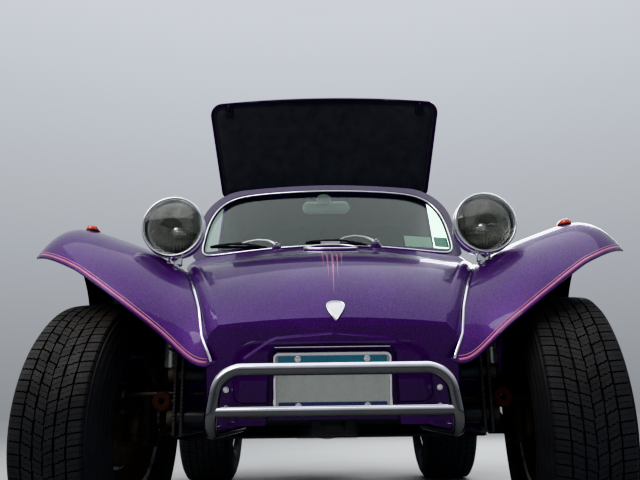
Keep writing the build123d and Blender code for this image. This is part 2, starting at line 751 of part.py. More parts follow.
def dashboard():
    """The dash panel under the cowl, with round instruments in front of the left seat."""
    blank = Box(1040, 14, 170)
    blank = fillet(blank.edges().filter_by(Axis.Y), 40)
    panel = Pos(0, -392, 925) * (Rot(-12, 0, 0) * blank)
    for x, r in ((SEAT_X, 52), (SEAT_X - 115, 30), (SEAT_X + 115, 30), (60, 26), (0, 26)):
        panel += Pos(x, -381, 945) * (Rot(78, 0, 0) * Cylinder(r, 16))
    return clear_of(panel, steering_column())


TAIL_ROWS = [
    (600, 500, 965, 990, 524, 925, 530, 560),
    (850, 490, 925, 955, 520, 880, 528, 600),
    (1130, 470, 870, 900, 508, 825, 515, 660),
    (1290, 455, 838, 866, 496, 790, 505, 690),
]


def tail_solid(skin=0):
    return loft([body_section(r, skin) for r in TAIL_ROWS])


def rear_deck():
    """The tail shell between the rear fenders, open below and cut away behind for the engine."""
    shell = tail_solid() - Pos(0, 0, -BODY_SKIN) * tail_solid(BODY_SKIN)
    shell -= Pos(0, 945, 560) * Box(980, 760, 500)
    return shell


# x, front lip y and z, crest z, rear end y and z
FRONT_FENDER_ROWS = [
    (300, -1314, 528, 774, -585, 450),
    (400, -1314, 549, 810, -585, 450),
    (480, -1311, 620, 846, -585, 450),
    (600, -1297, 709, 912, -585, 455),
    (720, -1245, 792, 957, -590, 490),
    (800, -1205, 829, 977, -600, 540),
    (850, -1172, 846, 966, -618, 600),
    (FENDER_EDGE, -1150, 848, 930, -650, 650),
]
REAR_FENDER_ROWS = [
    (500, 565, 430, 880, 1448, 560),
    (600, 565, 430, 918, 1450, 560),
    (720, 572, 450, 958, 1448, 580),
    (800, 585, 500, 972, 1440, 610),
    (850, 600, 560, 952, 1425, 650),
    (FENDER_EDGE, 630, 610, 895, 1400, 690),
]


def fender_section(row, crest_y, skin):
    """An arch in the lengthwise plane at x: an outer arc through lip, crest and end, and the same arc less the skin."""
    x, y0, z0, crest_z, y1, z1 = row
    a, b, c = (y0, z0), (crest_y, crest_z), (y1, z1)
    d = 2 * (a[0] * (b[1] - c[1]) + b[0] * (c[1] - a[1]) + c[0] * (a[1] - b[1]))
    sa, sb, sc = a[0] ** 2 + a[1] ** 2, b[0] ** 2 + b[1] ** 2, c[0] ** 2 + c[1] ** 2
    cy = (sa * (b[1] - c[1]) + sb * (c[1] - a[1]) + sc * (a[1] - b[1])) / d
    cz = (sa * (c[0] - b[0]) + sb * (a[0] - c[0]) + sc * (b[0] - a[0])) / d
    r = hypot(a[0] - cy, a[1] - cz)
    k = (r - skin) / r

    def inwards(p):
        return (cy + (p[0] - cy) * k, cz + (p[1] - cz) * k)

    return outline(along(x), a, (b, c), inwards(c), (inwards(b), inwards(a)))


def fender(rows, crest_y, skin=BODY_SKIN):
    return loft([fender_section(r, crest_y, skin) for r in rows])


def rear_fender_solid():
    """Everything inside the rear fender's outer face."""
    return fender(REAR_FENDER_ROWS, REAR_Y - 10, 200)


def front_fender():
    """The left front fender, trimmed where it meets the nose along the seam."""
    return fender(FRONT_FENDER_ROWS, FRONT_Y + 20) - nose_solid() - tub_solid()


def rear_fender():
    return fender(REAR_FENDER_ROWS, REAR_Y - 10) - tail_solid() - tub_solid()


# Windshield and roof


def screen_slab(thickness, inset=0):
    """The bowed, leaning sheet from which the frame and the glass are cut."""
    r = SCREEN_PLAN_R
    plan = Circle(r) - Circle(r - thickness)
    plan &= Pos(0, -r) * Rectangle(1400, 900)
    below = 60
    slope = SCREEN_RAKE[1] / SCREEN_RAKE[2]
    base = Pos(0, SCREEN_BASE_Y - below * slope + r + inset, SCREEN_BASE_Z - below) * plan
    return extrude(base, 640, dir=Vector(*SCREEN_RAKE))


def screen_outline(grow, corner):
    """The front view of the glass, larger by grow on every side, as a prism along Y."""
    w0, w1, h0, h1 = 524 + grow, 512 + grow, 1030 - grow, 1337 + grow
    face = make_face(Polyline((-w0, h0), (w0, h0), (w1, h1), (0, h1 + 5), (-w1, h1), (-w0, h0)))
    face = fillet(face.vertices().sort_by(Axis.Y)[0:2], 24)
    tops = face.vertices().sort_by(Axis.Y)[-3:]
    face = fillet([v for v in tops if abs(v.X) > 100], corner)
    return Pos(0, 400, 0) * extrude(Rot(90, 0, 0) * face, 1400)


def windshield_frame():
    frame = screen_slab(34) & (screen_outline(32, 175) - screen_outline(0, 165))
    return clear_of(frame, tub_solid(), nose_solid())


def windshield_glass():
    return clear_of(screen_slab(6, 14) & screen_outline(-0.2, 165), tub_solid(), nose_solid())


ARCH_ROWS = [
    # y, half width at the foot, foot z, half width at the shoulder, shoulder z, top z
    (ARCH_Y, 588, 940, 536, 1462, ARCH_Z),
    (560, 578, 935, 500, 1385, 1430),
    (900, 520, 915, 470, 985, 1010),
]


def arch_section(row, skin=0):
    y, foot, foot_z, shoulder, shoulder_z, top = row
    f, s, sz, t = foot - skin, shoulder - skin, shoulder_z - skin * 0.4, top - skin
    return outline(
        across(y),
        (f, foot_z - (60 if skin else 0)),
        ((f + 4 - 0.5 * (f - s), (foot_z + sz) / 2), (s, sz)),
        ((s - 18, t - 22), (s - 62, t - 8)),
        ((0, t), (-(s - 62), t - 8)),
        ((-(s - 18), t - 22), (-s, sz)),
        ((-(f + 4 - 0.5 * (f - s)), (foot_z + sz) / 2), (-f, foot_z - (60 if skin else 0))),
    )


def hinge_axis_rod(x, length, radius):
    """A round bar on the hatch's hinge axis."""
    return rod((x - length / 2, HINGE[1], HINGE[2]), (x + length / 2, HINGE[1], HINGE[2]), radius)


def fixed_hinge_leaves():
    """The roof's half of both hinges: two eyes on a tab each, with the pin through them."""
    leaves = []
    for x in (-HINGE_X, HINGE_X):
        leaf = hinge_axis_rod(x, 56, HINGE_PIN_R)
        for side in (-1, 1):
            leaf += hinge_axis_rod(x + side * 21, 13, HINGE_R)
            leaf += Pos(x + side * 21, HINGE[1] + 15, HINGE[2] - 3) * Box(13, 26, 7)
        leaves.append(leaf)
    return leaves


def hardtop_rear():
    """The fixed rear half of the roof, open at its front arch, with the rear window cut in its back."""
    outer = loft([arch_section(r) for r in ARCH_ROWS], ruled=True)
    inner = loft([arch_section(r, 10) for r in ARCH_ROWS], ruled=True)
    shell = outer - inner
    shell -= rear_window_prism(0)
    shell = shell - tub_solid() - tail_solid()
    for leaf in fixed_hinge_leaves():
        shell += leaf
    return shell


def rear_window_prism(grow):
    """A rounded prism square to the back slope, where the rear window goes."""
    slope = Plane(origin=(0, 790, 1190), x_dir=(1, 0, 0), z_dir=(0, 0.773, 0.634))
    face = RectangleRounded(640 + 2 * grow, 220 + 2 * grow, 50)
    return extrude(slope * face, 200, both=True)


def rear_window():
    outer = loft([arch_section(r, 3) for r in ARCH_ROWS], ruled=True)
    inner = loft([arch_section(r, 8) for r in ARCH_ROWS], ruled=True)
    pane = (outer - inner) & rear_window_prism(-0.2)
    return pane.solids().sort_by(Axis.Z)[-1]


def hatch_plan(inset):
    """The hatch seen from above: straight at the hinge, wider and bowed at the front, with round corners."""
    front, back = -HATCH_LENGTH + HATCH_BOW + inset, -2 - inset
    w0, w1 = 540 - inset, 577 - inset
    face = make_face([
        Line((w0, back), (w1, front)),
        ThreePointArc((w1, front), (0, front - HATCH_BOW), (-w1, front)),
        Line((-w1, front), (-w0, back)),
        Line((-w0, back), (w0, back)),
    ])
    corners = face.vertices().sort_by(Axis.Y)
    face = fillet(corners[0:2], 62 - inset)
    return fillet(face.vertices().sort_by(Axis.Y)[-2:], 30 - inset)


def crown_band(low, high):
    """Everything between a level floor and the roof's crowned top, over the hatch's length."""
    face = outline(across(-700), (-620, low), (620, low), (620, high - 16), ((0, high), (-620, high - 16)))
    return extrude(face, 800, dir=(0, 1, 0))


def roof_hatch():
    """The roof panel over the seats: a shallow tray with a turned-down rim, opened on its hinge."""
    outer = extrude(hatch_plan(0), 60, both=True) & crown_band(-HATCH_RIM, HATCH_CROWN)
    outer = fillet(outer.faces().sort_by(Axis.Z)[-1].edges(), 9)
    inner = extrude(hatch_plan(7), 60, both=True) & crown_band(-HATCH_RIM - 30, HATCH_CROWN - 6)
    tray = outer - inner
    for x in (-480, 480):
        tray += Pos(x, -HATCH_LENGTH + 62, -8) * Box(34, 46, 16)
    to_hinge = Pos(-HINGE[0], -HINGE[1], -HINGE[2])
    for x in (-HINGE_X, HINGE_X):
        for side in (-1, 1):
            tray -= to_hinge * hinge_axis_rod(x + side * 21, 14, HINGE_R + 1.5)
        tray += to_hinge * hinge_axis_rod(x, 28, HINGE_R)
        tray -= to_hinge * hinge_axis_rod(x, 57, HINGE_PIN_R + RUNNING_GAP)
    return Pos(*HINGE) * (Rot(-HATCH_OPEN_SLOPE, 0, 0) * tray)


# Lamps, bumpers and fittings

LAMP_X = 488
LAMP_Y = -1080
LAMP_Z = 957
LAMP_R = 96


def headlamp_shell():
    """A bowl-shaped headlamp with its rim and the stalk that stands on the fender."""
    bowl = outline(
        lambda p: (p[0], p[1]),
        (0, 140),
        (10, 140),
        ((64, 116), (88, 50)),
        (90, 8),
        (LAMP_R, 8),
        (LAMP_R, -8),
        (LAMP_R - 9, -10),
        (LAMP_R - 9, 0),
        (82, 46),
        ((60, 108), (10, 132)),
        (0, 132),
    )
    shell = Pos(LAMP_X, LAMP_Y, LAMP_Z) * revolve(bowl, Axis.Y, 360)
    stalk = rod((LAMP_X, LAMP_Y + 45, LAMP_Z - 150), (LAMP_X, LAMP_Y + 45, LAMP_Z - 82), 15)
    collar = rod((LAMP_X, LAMP_Y + 45, LAMP_Z - 112), (LAMP_X, LAMP_Y + 45, LAMP_Z - 92), 22)
    return both(clear_of(shell + stalk + collar, front_fender()))


def headlamp_lens():
    lens = outline(
        lambda p: (p[0], p[1]),
        (0, -26),
        (6, -26),
        ((48, -20), (LAMP_R - 9.6, -3)),
        (LAMP_R - 9.6, 3),
        ((50, -14), (6, -20)),
        (0, -20),
    )
    return both(Pos(LAMP_X, LAMP_Y, LAMP_Z) * revolve(lens, Axis.Y, 360))


def marker_lamps():
    """Small flattened turn lamps on the fender crests."""
    lamp = fillet(Box(38, 62, 22).edges(), 10)
    return both(clear_of(Pos(774, -985, 981) * lamp, front_fender()))


def tail_lamps():
    """Round lamps let into the backs of the rear fenders, each with a domed lens."""
    dome = outline(lambda p: (p[0], p[1]), (0, 0), (46, 0), (46, 52), ((30, 64), (6, 68)), (0, 68))
    lamp = Pos(700, 1364, 740) * revolve(dome, Axis.Y, 360)
    return both(clear_of(lamp, rear_fender_solid()))


BUMPER_Y = -1480


def front_bumper():
    """A bent tube hoop with a cross bar; its legs turn back to the lower beam tube."""
    hoop = pipe(
        [(-255, BEAM_Y, 356), (-292, BUMPER_Y, 348), (-270, BUMPER_Y, 492), (270, BUMPER_Y, 492),
         (292, BUMPER_Y, 348), (255, BEAM_Y, 356)],
        [45, 62, 62, 45], 15)
    bar = rod((-282, BUMPER_Y, 396), (282, BUMPER_Y, 396), 12)
    return clear_of(hoop + bar, front_beam(), nose_shell())


def rear_bumper():
    """The tube cage round the engine."""
    y = 1479
    hoop = pipe(
        [(-330, 1090, 470), (-340, y, 470), (-340, y, 704), (340, y, 704), (340, y, 470), (330, 1090, 470)],
        [70, 70, 70, 70], 16)
    bar = rod((-336, y + 4, 520), (336, y + 4, 520), 11)
    return hoop + bar


def number_plate():
    frame = front_panel_frame()
    plate = extrude(frame.offset(-18) * (Pos(0, PLATE_V) * RectangleRounded(PLATE_W, PLATE_H, 12)), 5)
    for x in (-90, 90):
        for v in (PLATE_V - 62, PLATE_V + 62):
            plate += extrude(frame.offset(-WELL_DEPTH + 0.1) * (Pos(x, v) * Circle(8)), WELL_DEPTH - 16)
    return plate


def seat(side):
    """A high-backed bucket seat: cushion and back with raised sides, on two rails along the floor's ribs."""
    cushion = extrude(
        outline(
            across(-200), (-215, 352), (-215, 430), ((-196, 462), (-150, 448)), ((0, 420), (150, 448)),
            ((196, 462), (215, 430)), (215, 352),
        ),
        430, dir=(0, 1, 0))
    back = extrude(
        outline(
            across(0), (-190, 0), (-215, 150), (-215, 380), ((-200, 430), (-140, 455)), (-118, 560),
            ((-90, 592), (0, 600)), ((90, 592), (118, 560)), (140, 455), ((200, 430), (215, 380)),
            (215, 150), (190, 0),
        ),
        84, dir=(0, 1, 0))
    back = fillet(back.faces().sort_by(Axis.Y)[0].edges(), 12)
    for x in (-184, 184):
        back += Pos(x, -14, 240) * fillet(Box(58, 62, 300).edges(), 24)
    back = Pos(0, 178, 436) * (Rot(-13, 0, 0) * back)
    shape = cushion + back
    for rib_x in (190, 370):
        shape += Pos(side * (rib_x - SEAT_X), 10, 335) * Box(28, 380, 42)
    return Pos(side * SEAT_X, 0, 0) * shape


def steering_wheel():
    """Three-spoke wheel, hub and column shaft, about the tilted column."""
    top, foot = Vector(*COLUMN_TOP), Vector(*COLUMN_FOOT)
    plane = Plane(origin=top, z_dir=(top - foot).normalized(), x_dir=(1, 0, 0))
    rim = plane * Torus(WHEEL_RIM_R, 12)
    hub = plane * (Pos(0, 0, -18) * Cylinder(38, 36))
    spoke = Pos(WHEEL_RIM_R / 2, 0, -10) * Box(WHEEL_RIM_R - 20, 34, 5)
    for reach, hole_r in ((66, 10), (93, 8.5), (118, 7)):
        spoke -= Pos(reach, 0, -10) * Cylinder(hole_r, 12)
    spokes = [plane * (Rot(0, 0, a) * spoke) for a in (0, 180, 270)]
    length = (top - foot).length
    shaft = plane * (Pos(0, 0, -length / 2) * Cylinder(COLUMN_R, length - 12))
    return rim + hub + spokes + shaft


def steering_column():
    """The fixed tube round the column shaft, with the clamp that hangs it under the dash."""
    top, foot = Vector(*COLUMN_TOP), Vector(*COLUMN_FOOT)
    plane = Plane(origin=top, z_dir=(top - foot).normalized(), x_dir=(1, 0, 0))
    jacket = plane * (Pos(0, 0, -290) * Cylinder(JACKET_R, 440))
    clamp = plane * (Pos(0, 0, -215) * Box(96, 40, 34))
    return (jacket + clamp) - plane * (Pos(0, 0, -290) * Cylinder(COLUMN_R + RUNNING_GAP, 500))


def screen_point(x, z, ahead):
    """A point at x and z, so far ahead of the windshield frame's front face."""
    bow = SCREEN_PLAN_R - (SCREEN_PLAN_R**2 - x**2) ** 0.5
    lean = (z - SCREEN_BASE_Z) * SCREEN_RAKE[1] / SCREEN_RAKE[2]
    return (x, SCREEN_BASE_Y + bow + lean - ahead, z)


# pivot x and z, blade's outer end x and z, blade's inner end x and z
WIPER_ROWS = [
    (-200, 1020, -480, 1032, -258, 1022),
    (192, 1030, -90, 1046, 157, 1034),
]


def wipers():
    """Two arms with straight blades, parked low in front of the glass."""
    made = []
    for px, pz, ox, oz, ix, iz in WIPER_ROWS:
        pivot = screen_point(px, pz, 14)
        hub = rod((pivot[0], pivot[1] - 8, pivot[2] + 10), (pivot[0], pivot[1] + 12, pivot[2] - 16), 11)
        outer, inner = screen_point(ox, oz, 12), screen_point(ix, iz, 12)
        middle = [(a + b) / 2 for a, b in zip(outer, inner)]
        blade = rod(outer, inner, 4.5)
        arm = rod((pivot[0], pivot[1] - 6, pivot[2] + 6), (middle[0], middle[1] - 5, middle[2] + 4), 4)
        made.append(clear_of(blade + arm + hub, windshield_frame(), tub_solid(), nose_solid()))
    return node(*made)


def mirror_inside():
    stalk = rod((0, -258, 1322), (0, -226, 1300), 6)
    glass = fillet((Pos(0, -216, 1290) * Box(230, 16, 60)).edges().filter_by(Axis.Y), 28)
    return stalk + glass


def levers():
    """Gear lever and hand brake on the tunnel, and three pedals that stand on the floor."""
    gear = rod((0, -180, 452), (0, -130, 680), 7)
    gear += Pos(0, -130, 690) * Sphere(22)
    brake = rod((0, 60, 462), (0, 230, 570), 12)
    pedals = []
    for x, reach in ((SEAT_X - 90, 0), (SEAT_X, 0), (SEAT_X + 90, 16)):
        pedal = rod((x, -500 + reach, 312), (x, -548 + reach, 448), 7)
        pedal += Pos(x, -552 + reach, 452) * (Rot(-20, 0, 0) * Box(56, 9, 66))
        pedals.append(clear_of(pedal, floor_pan()))
    return node(gear, brake, *pedals)


NODES = {
    "floor_pan": floor_pan,
    "front_beam": front_beam,
    "front_arms": front_arms,
    "front_shocks": front_shocks,
    "bump_stops": bump_stops,
    "knuckle_left": lambda: steered(knuckle(TIE_ROD_Z + 14), 1),
    "knuckle_right": lambda: steered(mirrored(knuckle(TIE_ROD_Z + TIE_ROD_STEP + 14)), -1),
    "tie_rod_left": lambda: tie_rod(1),
    "tie_rod_right": lambda: tie_rod(-1),
    "drop_arm": drop_arm,
    "steering_box": steering_box,
    "rear_axle": rear_axle,
    "rear_shocks": lambda: clear_of(rear_shocks(), rear_axle()),
    "transaxle": transaxle,
    "engine_case": engine_case,
    "cylinder_banks": cylinder_banks,
    "fan_shroud": fan_shroud,
    "generator": generator,
    "carburettor": carburettor,
    "exhaust": exhaust,
    "nose_shell": nose_shell,
    "cockpit_tub": cockpit_tub,
    "dashboard": dashboard,
    "rear_deck": rear_deck,
    "fender_front_left": front_fender,
    "fender_front_right": lambda: mirrored(front_fender()),
    "fender_rear_left": rear_fender,
    "fender_rear_right": lambda: mirrored(rear_fender()),
    "windshield_frame": windshield_frame,
    "windshield_glass": windshield_glass,
    "hardtop_rear": hardtop_rear,
    "rear_window": rear_window,
    "roof_hatch": roof_hatch,
    "headlamp_shells": headlamp_shell,
    "headlamp_lenses": headlamp_lens,
    "marker_lamps": marker_lamps,
    "tail_lamps": tail_lamps,
    "front_bumper": front_bumper,
    "rear_bumper": rear_bumper,
    "number_plate": number_plate,
    "seat_left": lambda: seat(1),
    "seat_right": lambda: seat(-1),
    "steering_wheel": steering_wheel,
    "steering_column": steering_column,
    "wipers": wipers,
    "mirror_inside": mirror_inside,
    "levers": levers,
}


def main():
    os.makedirs("parts", exist_ok=True)
    made = {name: build() for name, build in NODES.items()}
    made.update(wheels_and_tyres())
    for name, shape in made.items():
        export_step(shape, f"parts/{name}.step")


main()
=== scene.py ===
import json
import math

import bmesh
import bpy
from mathutils import Matrix, Vector
from mathutils.bvhtree import BVHTree
from mathutils.geometry import convex_hull_2d

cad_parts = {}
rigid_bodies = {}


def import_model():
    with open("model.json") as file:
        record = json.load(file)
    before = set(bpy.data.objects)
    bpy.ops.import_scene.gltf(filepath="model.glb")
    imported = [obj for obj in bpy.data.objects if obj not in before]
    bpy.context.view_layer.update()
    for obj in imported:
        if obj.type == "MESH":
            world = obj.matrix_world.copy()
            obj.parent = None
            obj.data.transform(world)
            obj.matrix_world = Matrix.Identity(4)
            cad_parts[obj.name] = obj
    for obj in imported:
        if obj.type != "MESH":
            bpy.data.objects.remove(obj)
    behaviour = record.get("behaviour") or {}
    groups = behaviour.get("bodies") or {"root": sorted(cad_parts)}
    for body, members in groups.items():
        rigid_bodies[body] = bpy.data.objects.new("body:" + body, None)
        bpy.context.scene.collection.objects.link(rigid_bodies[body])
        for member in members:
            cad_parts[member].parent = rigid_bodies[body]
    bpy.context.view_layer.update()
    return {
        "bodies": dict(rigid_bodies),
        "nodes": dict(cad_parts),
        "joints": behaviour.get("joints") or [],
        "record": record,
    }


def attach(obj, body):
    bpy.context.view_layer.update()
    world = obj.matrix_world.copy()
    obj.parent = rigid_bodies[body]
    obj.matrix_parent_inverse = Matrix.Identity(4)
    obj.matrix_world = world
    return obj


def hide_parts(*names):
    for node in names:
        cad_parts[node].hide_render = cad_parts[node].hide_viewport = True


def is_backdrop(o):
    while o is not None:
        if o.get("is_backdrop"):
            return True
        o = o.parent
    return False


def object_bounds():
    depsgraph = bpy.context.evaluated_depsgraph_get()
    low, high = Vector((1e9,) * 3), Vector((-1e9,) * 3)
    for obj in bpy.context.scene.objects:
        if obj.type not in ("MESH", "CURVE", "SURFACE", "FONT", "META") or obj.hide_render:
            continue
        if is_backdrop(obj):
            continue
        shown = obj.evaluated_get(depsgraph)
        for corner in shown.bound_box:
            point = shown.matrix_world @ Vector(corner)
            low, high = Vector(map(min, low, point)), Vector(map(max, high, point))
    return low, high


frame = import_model()
NODES = frame["nodes"]
SIDES = (("left", 1), ("right", -1))

# ---------------------------------------------------------------- camera, light, floor

CAMERA_PLACE = (-0.028, -3.01, 0.4)
CAMERA_TURNS = ((0.03, "Z"), (104.8, "X"), (-0.75, "Z"))
camera_data = bpy.data.cameras.new("camera")
camera_data.lens = 36
camera_data.sensor_width = 36
camera = bpy.data.objects.new("camera", camera_data)
view = Matrix.Translation(CAMERA_PLACE)
for degrees, axis in CAMERA_TURNS:
    view = view @ Matrix.Rotation(math.radians(degrees), 4, axis)
camera.matrix_world = view
bpy.context.collection.objects.link(camera)
bpy.context.scene.camera = camera


def point_of(tree, kind="Object"):
    return tree.nodes.new("ShaderNodeTexCoord").outputs[kind]


def part_of(tree, source, axis):
    """One coordinate of a vector."""
    split = tree.nodes.new("ShaderNodeSeparateXYZ")
    tree.links.new(source, split.inputs[0])
    return split.outputs[axis]


def sky_world(low, high, strength):
    """A soft sky: a darker ring at the horizon and a bright top, so that chrome has something to show."""
    world = bpy.data.worlds.new("soft_sky")
    world.use_nodes = True
    tree = world.node_tree
    background = tree.nodes["Background"]
    ramp = tree.nodes.new("ShaderNodeValToRGB")
    tree.links.new(part_of(tree, point_of(tree, "Generated"), "Z"), ramp.inputs[0])
    for element, position, colour in zip(ramp.color_ramp.elements, (0.0, 0.55), (low, high)):
        element.position, element.color = position, (*colour, 1)
    tree.links.new(ramp.outputs[0], background.inputs[0])
    background.inputs[1].default_value = strength
    bpy.context.scene.world = world


def area_light(name, place, aim, size, watts, colour=(1, 1, 1)):
    data = bpy.data.lights.new(name, "AREA")
    data.shape = "RECTANGLE"
    data.size, data.size_y = size
    data.energy = watts
    data.color = colour
    light = bpy.data.objects.new(name, data)
    light.location = place
    light.rotation_euler = (Vector(aim) - Vector(place)).to_track_quat("-Z", "Y").to_euler()
    bpy.context.collection.objects.link(light)


sky_world((0.4, 0.42, 0.45), (0.86, 0.9, 0.96), 0.72)
area_light("key", (-3.2, -4.2, 5.0), (0, 0, 0.6), (4.5, 3.5), 170, (1.0, 0.98, 0.95))
area_light("top", (0.3, -0.6, 6.0), (0, 0, 0), (7.0, 6.0), 110, (0.95, 0.97, 1.0))
area_light("back", (2.2, 5.2, 3.6), (0, 0.2, 0.8), (4.5, 3.0), 130)
scene = bpy.context.scene
scene.view_settings.view_transform = "Khronos PBR Neutral"
scene.view_settings.exposure = 0.05

# ---------------------------------------------------------------- materials


def tree_of(name):
    made = bpy.data.materials.new(name)
    made.use_nodes = True
    return made, made.node_tree, made.node_tree.nodes["Principled BSDF"]


def add(tree, kind, **inputs):
    made = tree.nodes.new(kind)
    for key, value in inputs.items():
        made.inputs[key.replace("_", " ")].default_value = value
    return made


def noise(tree, scale, detail=3.0, rough=0.55, stretch=None):
    """A noise texture in object space. Its output is the factor."""
    made = add(tree, "ShaderNodeTexNoise", Scale=scale, Detail=detail, Roughness=rough)
    source = point_of(tree)
    if stretch:
        mapping = add(tree, "ShaderNodeMapping", Scale=stretch)
        tree.links.new(source, mapping.inputs["Vector"])
        source = mapping.outputs["Vector"]
    tree.links.new(source, made.inputs["Vector"])
    return made.outputs["Fac"]


def remap(tree, factor, low, high, start=0.3, stop=0.7):
    made = add(tree, "ShaderNodeMapRange", From_Min=start, From_Max=stop, To_Min=low, To_Max=high)
    tree.links.new(factor, made.inputs["Value"])
    return made.outputs["Result"]


def blend_colour(tree, factor, first, second):
    """Two colours mixed by a factor. Each may be a colour or another node's output."""
    made = tree.nodes.new("ShaderNodeMix")
    made.data_type = "RGBA"
    tree.links.new(factor, made.inputs["Factor"])
    for socket, value in ((made.inputs[6], first), (made.inputs[7], second)):
        if isinstance(value, tuple):
            socket.default_value = (*value, 1)
        else:
            tree.links.new(value, socket)
    return made.outputs[2]


def raise_bump(tree, bsdf, height, strength, distance):
    made = add(tree, "ShaderNodeBump", Strength=strength, Distance=distance)
    tree.links.new(height, made.inputs["Height"])
    tree.links.new(made.outputs["Normal"], bsdf.inputs["Normal"])


def facing_up(tree, start, stop):
    """A factor that is 1 on surfaces that look up and 0 on those that look down."""
    normal = tree.nodes.new("ShaderNodeNewGeometry").outputs["Normal"]
    return remap(tree, part_of(tree, normal, "Z"), 0.0, 1.0, start, stop)


def maths(tree, operation, *values):
    made = tree.nodes.new("ShaderNodeMath")
    made.operation = operation
    for socket, value in zip(made.inputs, values):
        if isinstance(value, float):
            socket.default_value = value
        else:
            tree.links.new(value, socket)
    return made.outputs[0]


def times(tree, first, second):
    return maths(tree, "MULTIPLY", first, second)


def surface(name, colour, rough=(0.35, 0.5), metal=0.0, vary=0.15, scale=30.0, grain=300.0, bump=0.1, depth=0.0005,
            coat=0.0, dust=0.0, dust_colour=(0.2, 0.17, 0.13), wear=None, sheen=0.0):
    """A general finish: patchy colour and roughness, a fine grain, dust on what looks up, and worn edges."""
    made, tree, bsdf = tree_of(name)
    patch = noise(tree, scale, 4.0, 0.6)
    dark = tuple(c * (1 - vary) for c in colour)
    light = tuple(min(1.0, c * (1 + vary)) for c in colour)
    base = blend_colour(tree, remap(tree, patch, 0.0, 1.0), dark, light)
    if dust:
        cover = times(tree, facing_up(tree, -0.2, 1.0), remap(tree, noise(tree, scale * 0.4, 5.0), 0.2 * dust, dust))
        base = blend_colour(tree, cover, base, dust_colour)
    if wear:
        geometry = tree.nodes.new("ShaderNodeNewGeometry")
        edge = times(tree, remap(tree, geometry.outputs["Pointiness"], 0.0, 1.0, 0.52, 0.6),
                     remap(tree, patch, 0.2, 1.0))
        base = blend_colour(tree, edge, base, wear)
    tree.links.new(base, bsdf.inputs["Base Color"])
    tree.links.new(remap(tree, noise(tree, scale * 1.7, 4.0), rough[0], rough[1]), bsdf.inputs["Roughness"])
    bsdf.inputs["Metallic"].default_value = metal
    for kind, weight, roughness in (("Coat", coat, 0.04), ("Sheen", sheen, 0.5)):
        if weight:
            bsdf.inputs[f"{kind} Weight"].default_value = weight
            bsdf.inputs[f"{kind} Roughness"].default_value = roughness
    if bump:
        raise_bump(tree, bsdf, noise(tree, grain, 2.0), bump, depth)
    return made


# the first colour is painted shade for faces of the flake paint that look down; the second darkens the paint towards
# the bottom
PAINTED_UNDERSIDE_SHADE, LOW_DARKENING = (0.006, 0.003, 0.01), (0.011, 0.009, 0.013)


def flake_paint(name, deep, bright, shimmer=0.34, underside_shade=0.72, under=None):
    """Metal-flake lacquer: small tilted flakes of uneven brightness under a smooth clear coat, with painted shade on
    faces that look down.
    """
    made, tree, bsdf = tree_of(name)
    mixed = add(tree, "ShaderNodeMix", Factor=0.45)
    mixed.data_type = "RGBA"
    for scale, socket in ((820.0, 6), (1900.0, 7)):
        cells = add(tree, "ShaderNodeTexVoronoi", Scale=scale)
        tree.links.new(point_of(tree), cells.inputs["Vector"])
        tree.links.new(cells.outputs["Color"], mixed.inputs[socket])
    flakes = mixed.outputs[2]
    split = tree.nodes.new("ShaderNodeSeparateColor")
    tree.links.new(flakes, split.inputs[0])
    light = remap(tree, split.outputs[0], 0.0, 1.0, 0.42, 0.86)
    base = blend_colour(tree, maths(tree, "ADD", light, remap(tree, noise(tree, 3.0), -0.1, 0.16)), deep, bright)
    # painted shade: faces that look down turn towards a near-black purple
    base = blend_colour(tree, times(tree, facing_up(tree, 0.02, -0.55), underside_shade), base, PAINTED_UNDERSIDE_SHADE)
    # darker towards the bottom: from z 0.6 down to 0.4 the paint turns, in patches, part way to a near-black grey
    low = remap(tree, part_of(tree, point_of(tree), "Z"), 0.0, 0.72, 0.6, 0.4)
    base = blend_colour(tree, times(tree, low, remap(tree, noise(tree, 9.0, 5.0), 0.6, 1.0)), base, LOW_DARKENING)
    if under:
        base = blend_colour(tree, facing_up(tree, -0.12, -0.26), base, under)
    tree.links.new(base, bsdf.inputs["Base Color"])
    normal = tree.nodes.new("ShaderNodeNewGeometry").outputs["Normal"]
    tilted = flakes
    for operation, socket, value in (("SUBTRACT", 1, (0.5, 0.5, 0.5)), ("SCALE", "Scale", shimmer), ("ADD", 1, None),
                                     ("NORMALIZE", None, None)):
        step = tree.nodes.new("ShaderNodeVectorMath")
        step.operation = operation
        tree.links.new(tilted, step.inputs[0])
        if value is not None:
            step.inputs[socket].default_value = value
        elif socket:
            tree.links.new(normal, step.inputs[socket])
        tilted = step.outputs[0]
    tree.links.new(tilted, bsdf.inputs["Normal"])
    tree.links.new(remap(tree, noise(tree, 14.0, 4.0), 0.3, 0.42), bsdf.inputs["Roughness"])
    for socket, value in (("Metallic", 0.6), ("Coat Weight", 0.75), ("Coat Roughness", 0.035)):
        bsdf.inputs[socket].default_value = value
    ripple = add(tree, "ShaderNodeBump", Strength=0.035, Distance=0.0006)
    tree.links.new(noise(tree, 130.0, 2.0), ripple.inputs["Height"])
    tree.links.new(ripple.outputs["Normal"], bsdf.inputs["Coat Normal"])
    return made


def clear_glass(name, tint, rough=0.0, ior=1.45):
    made, tree, bsdf = tree_of(name)
    smear = noise(tree, 9.0, 4.0, 0.6, (1, 1, 0.35))
    pale = tuple(min(1.0, c * 1.06) for c in tint)
    tree.links.new(blend_colour(tree, remap(tree, smear, 0.0, 1.0), tint, pale), bsdf.inputs["Base Color"])
    tree.links.new(remap(tree, smear, rough, rough + 0.02), bsdf.inputs["Roughness"])
    bsdf.inputs["Transmission Weight"].default_value = 1.0
    bsdf.inputs["IOR"].default_value = ior
    return made


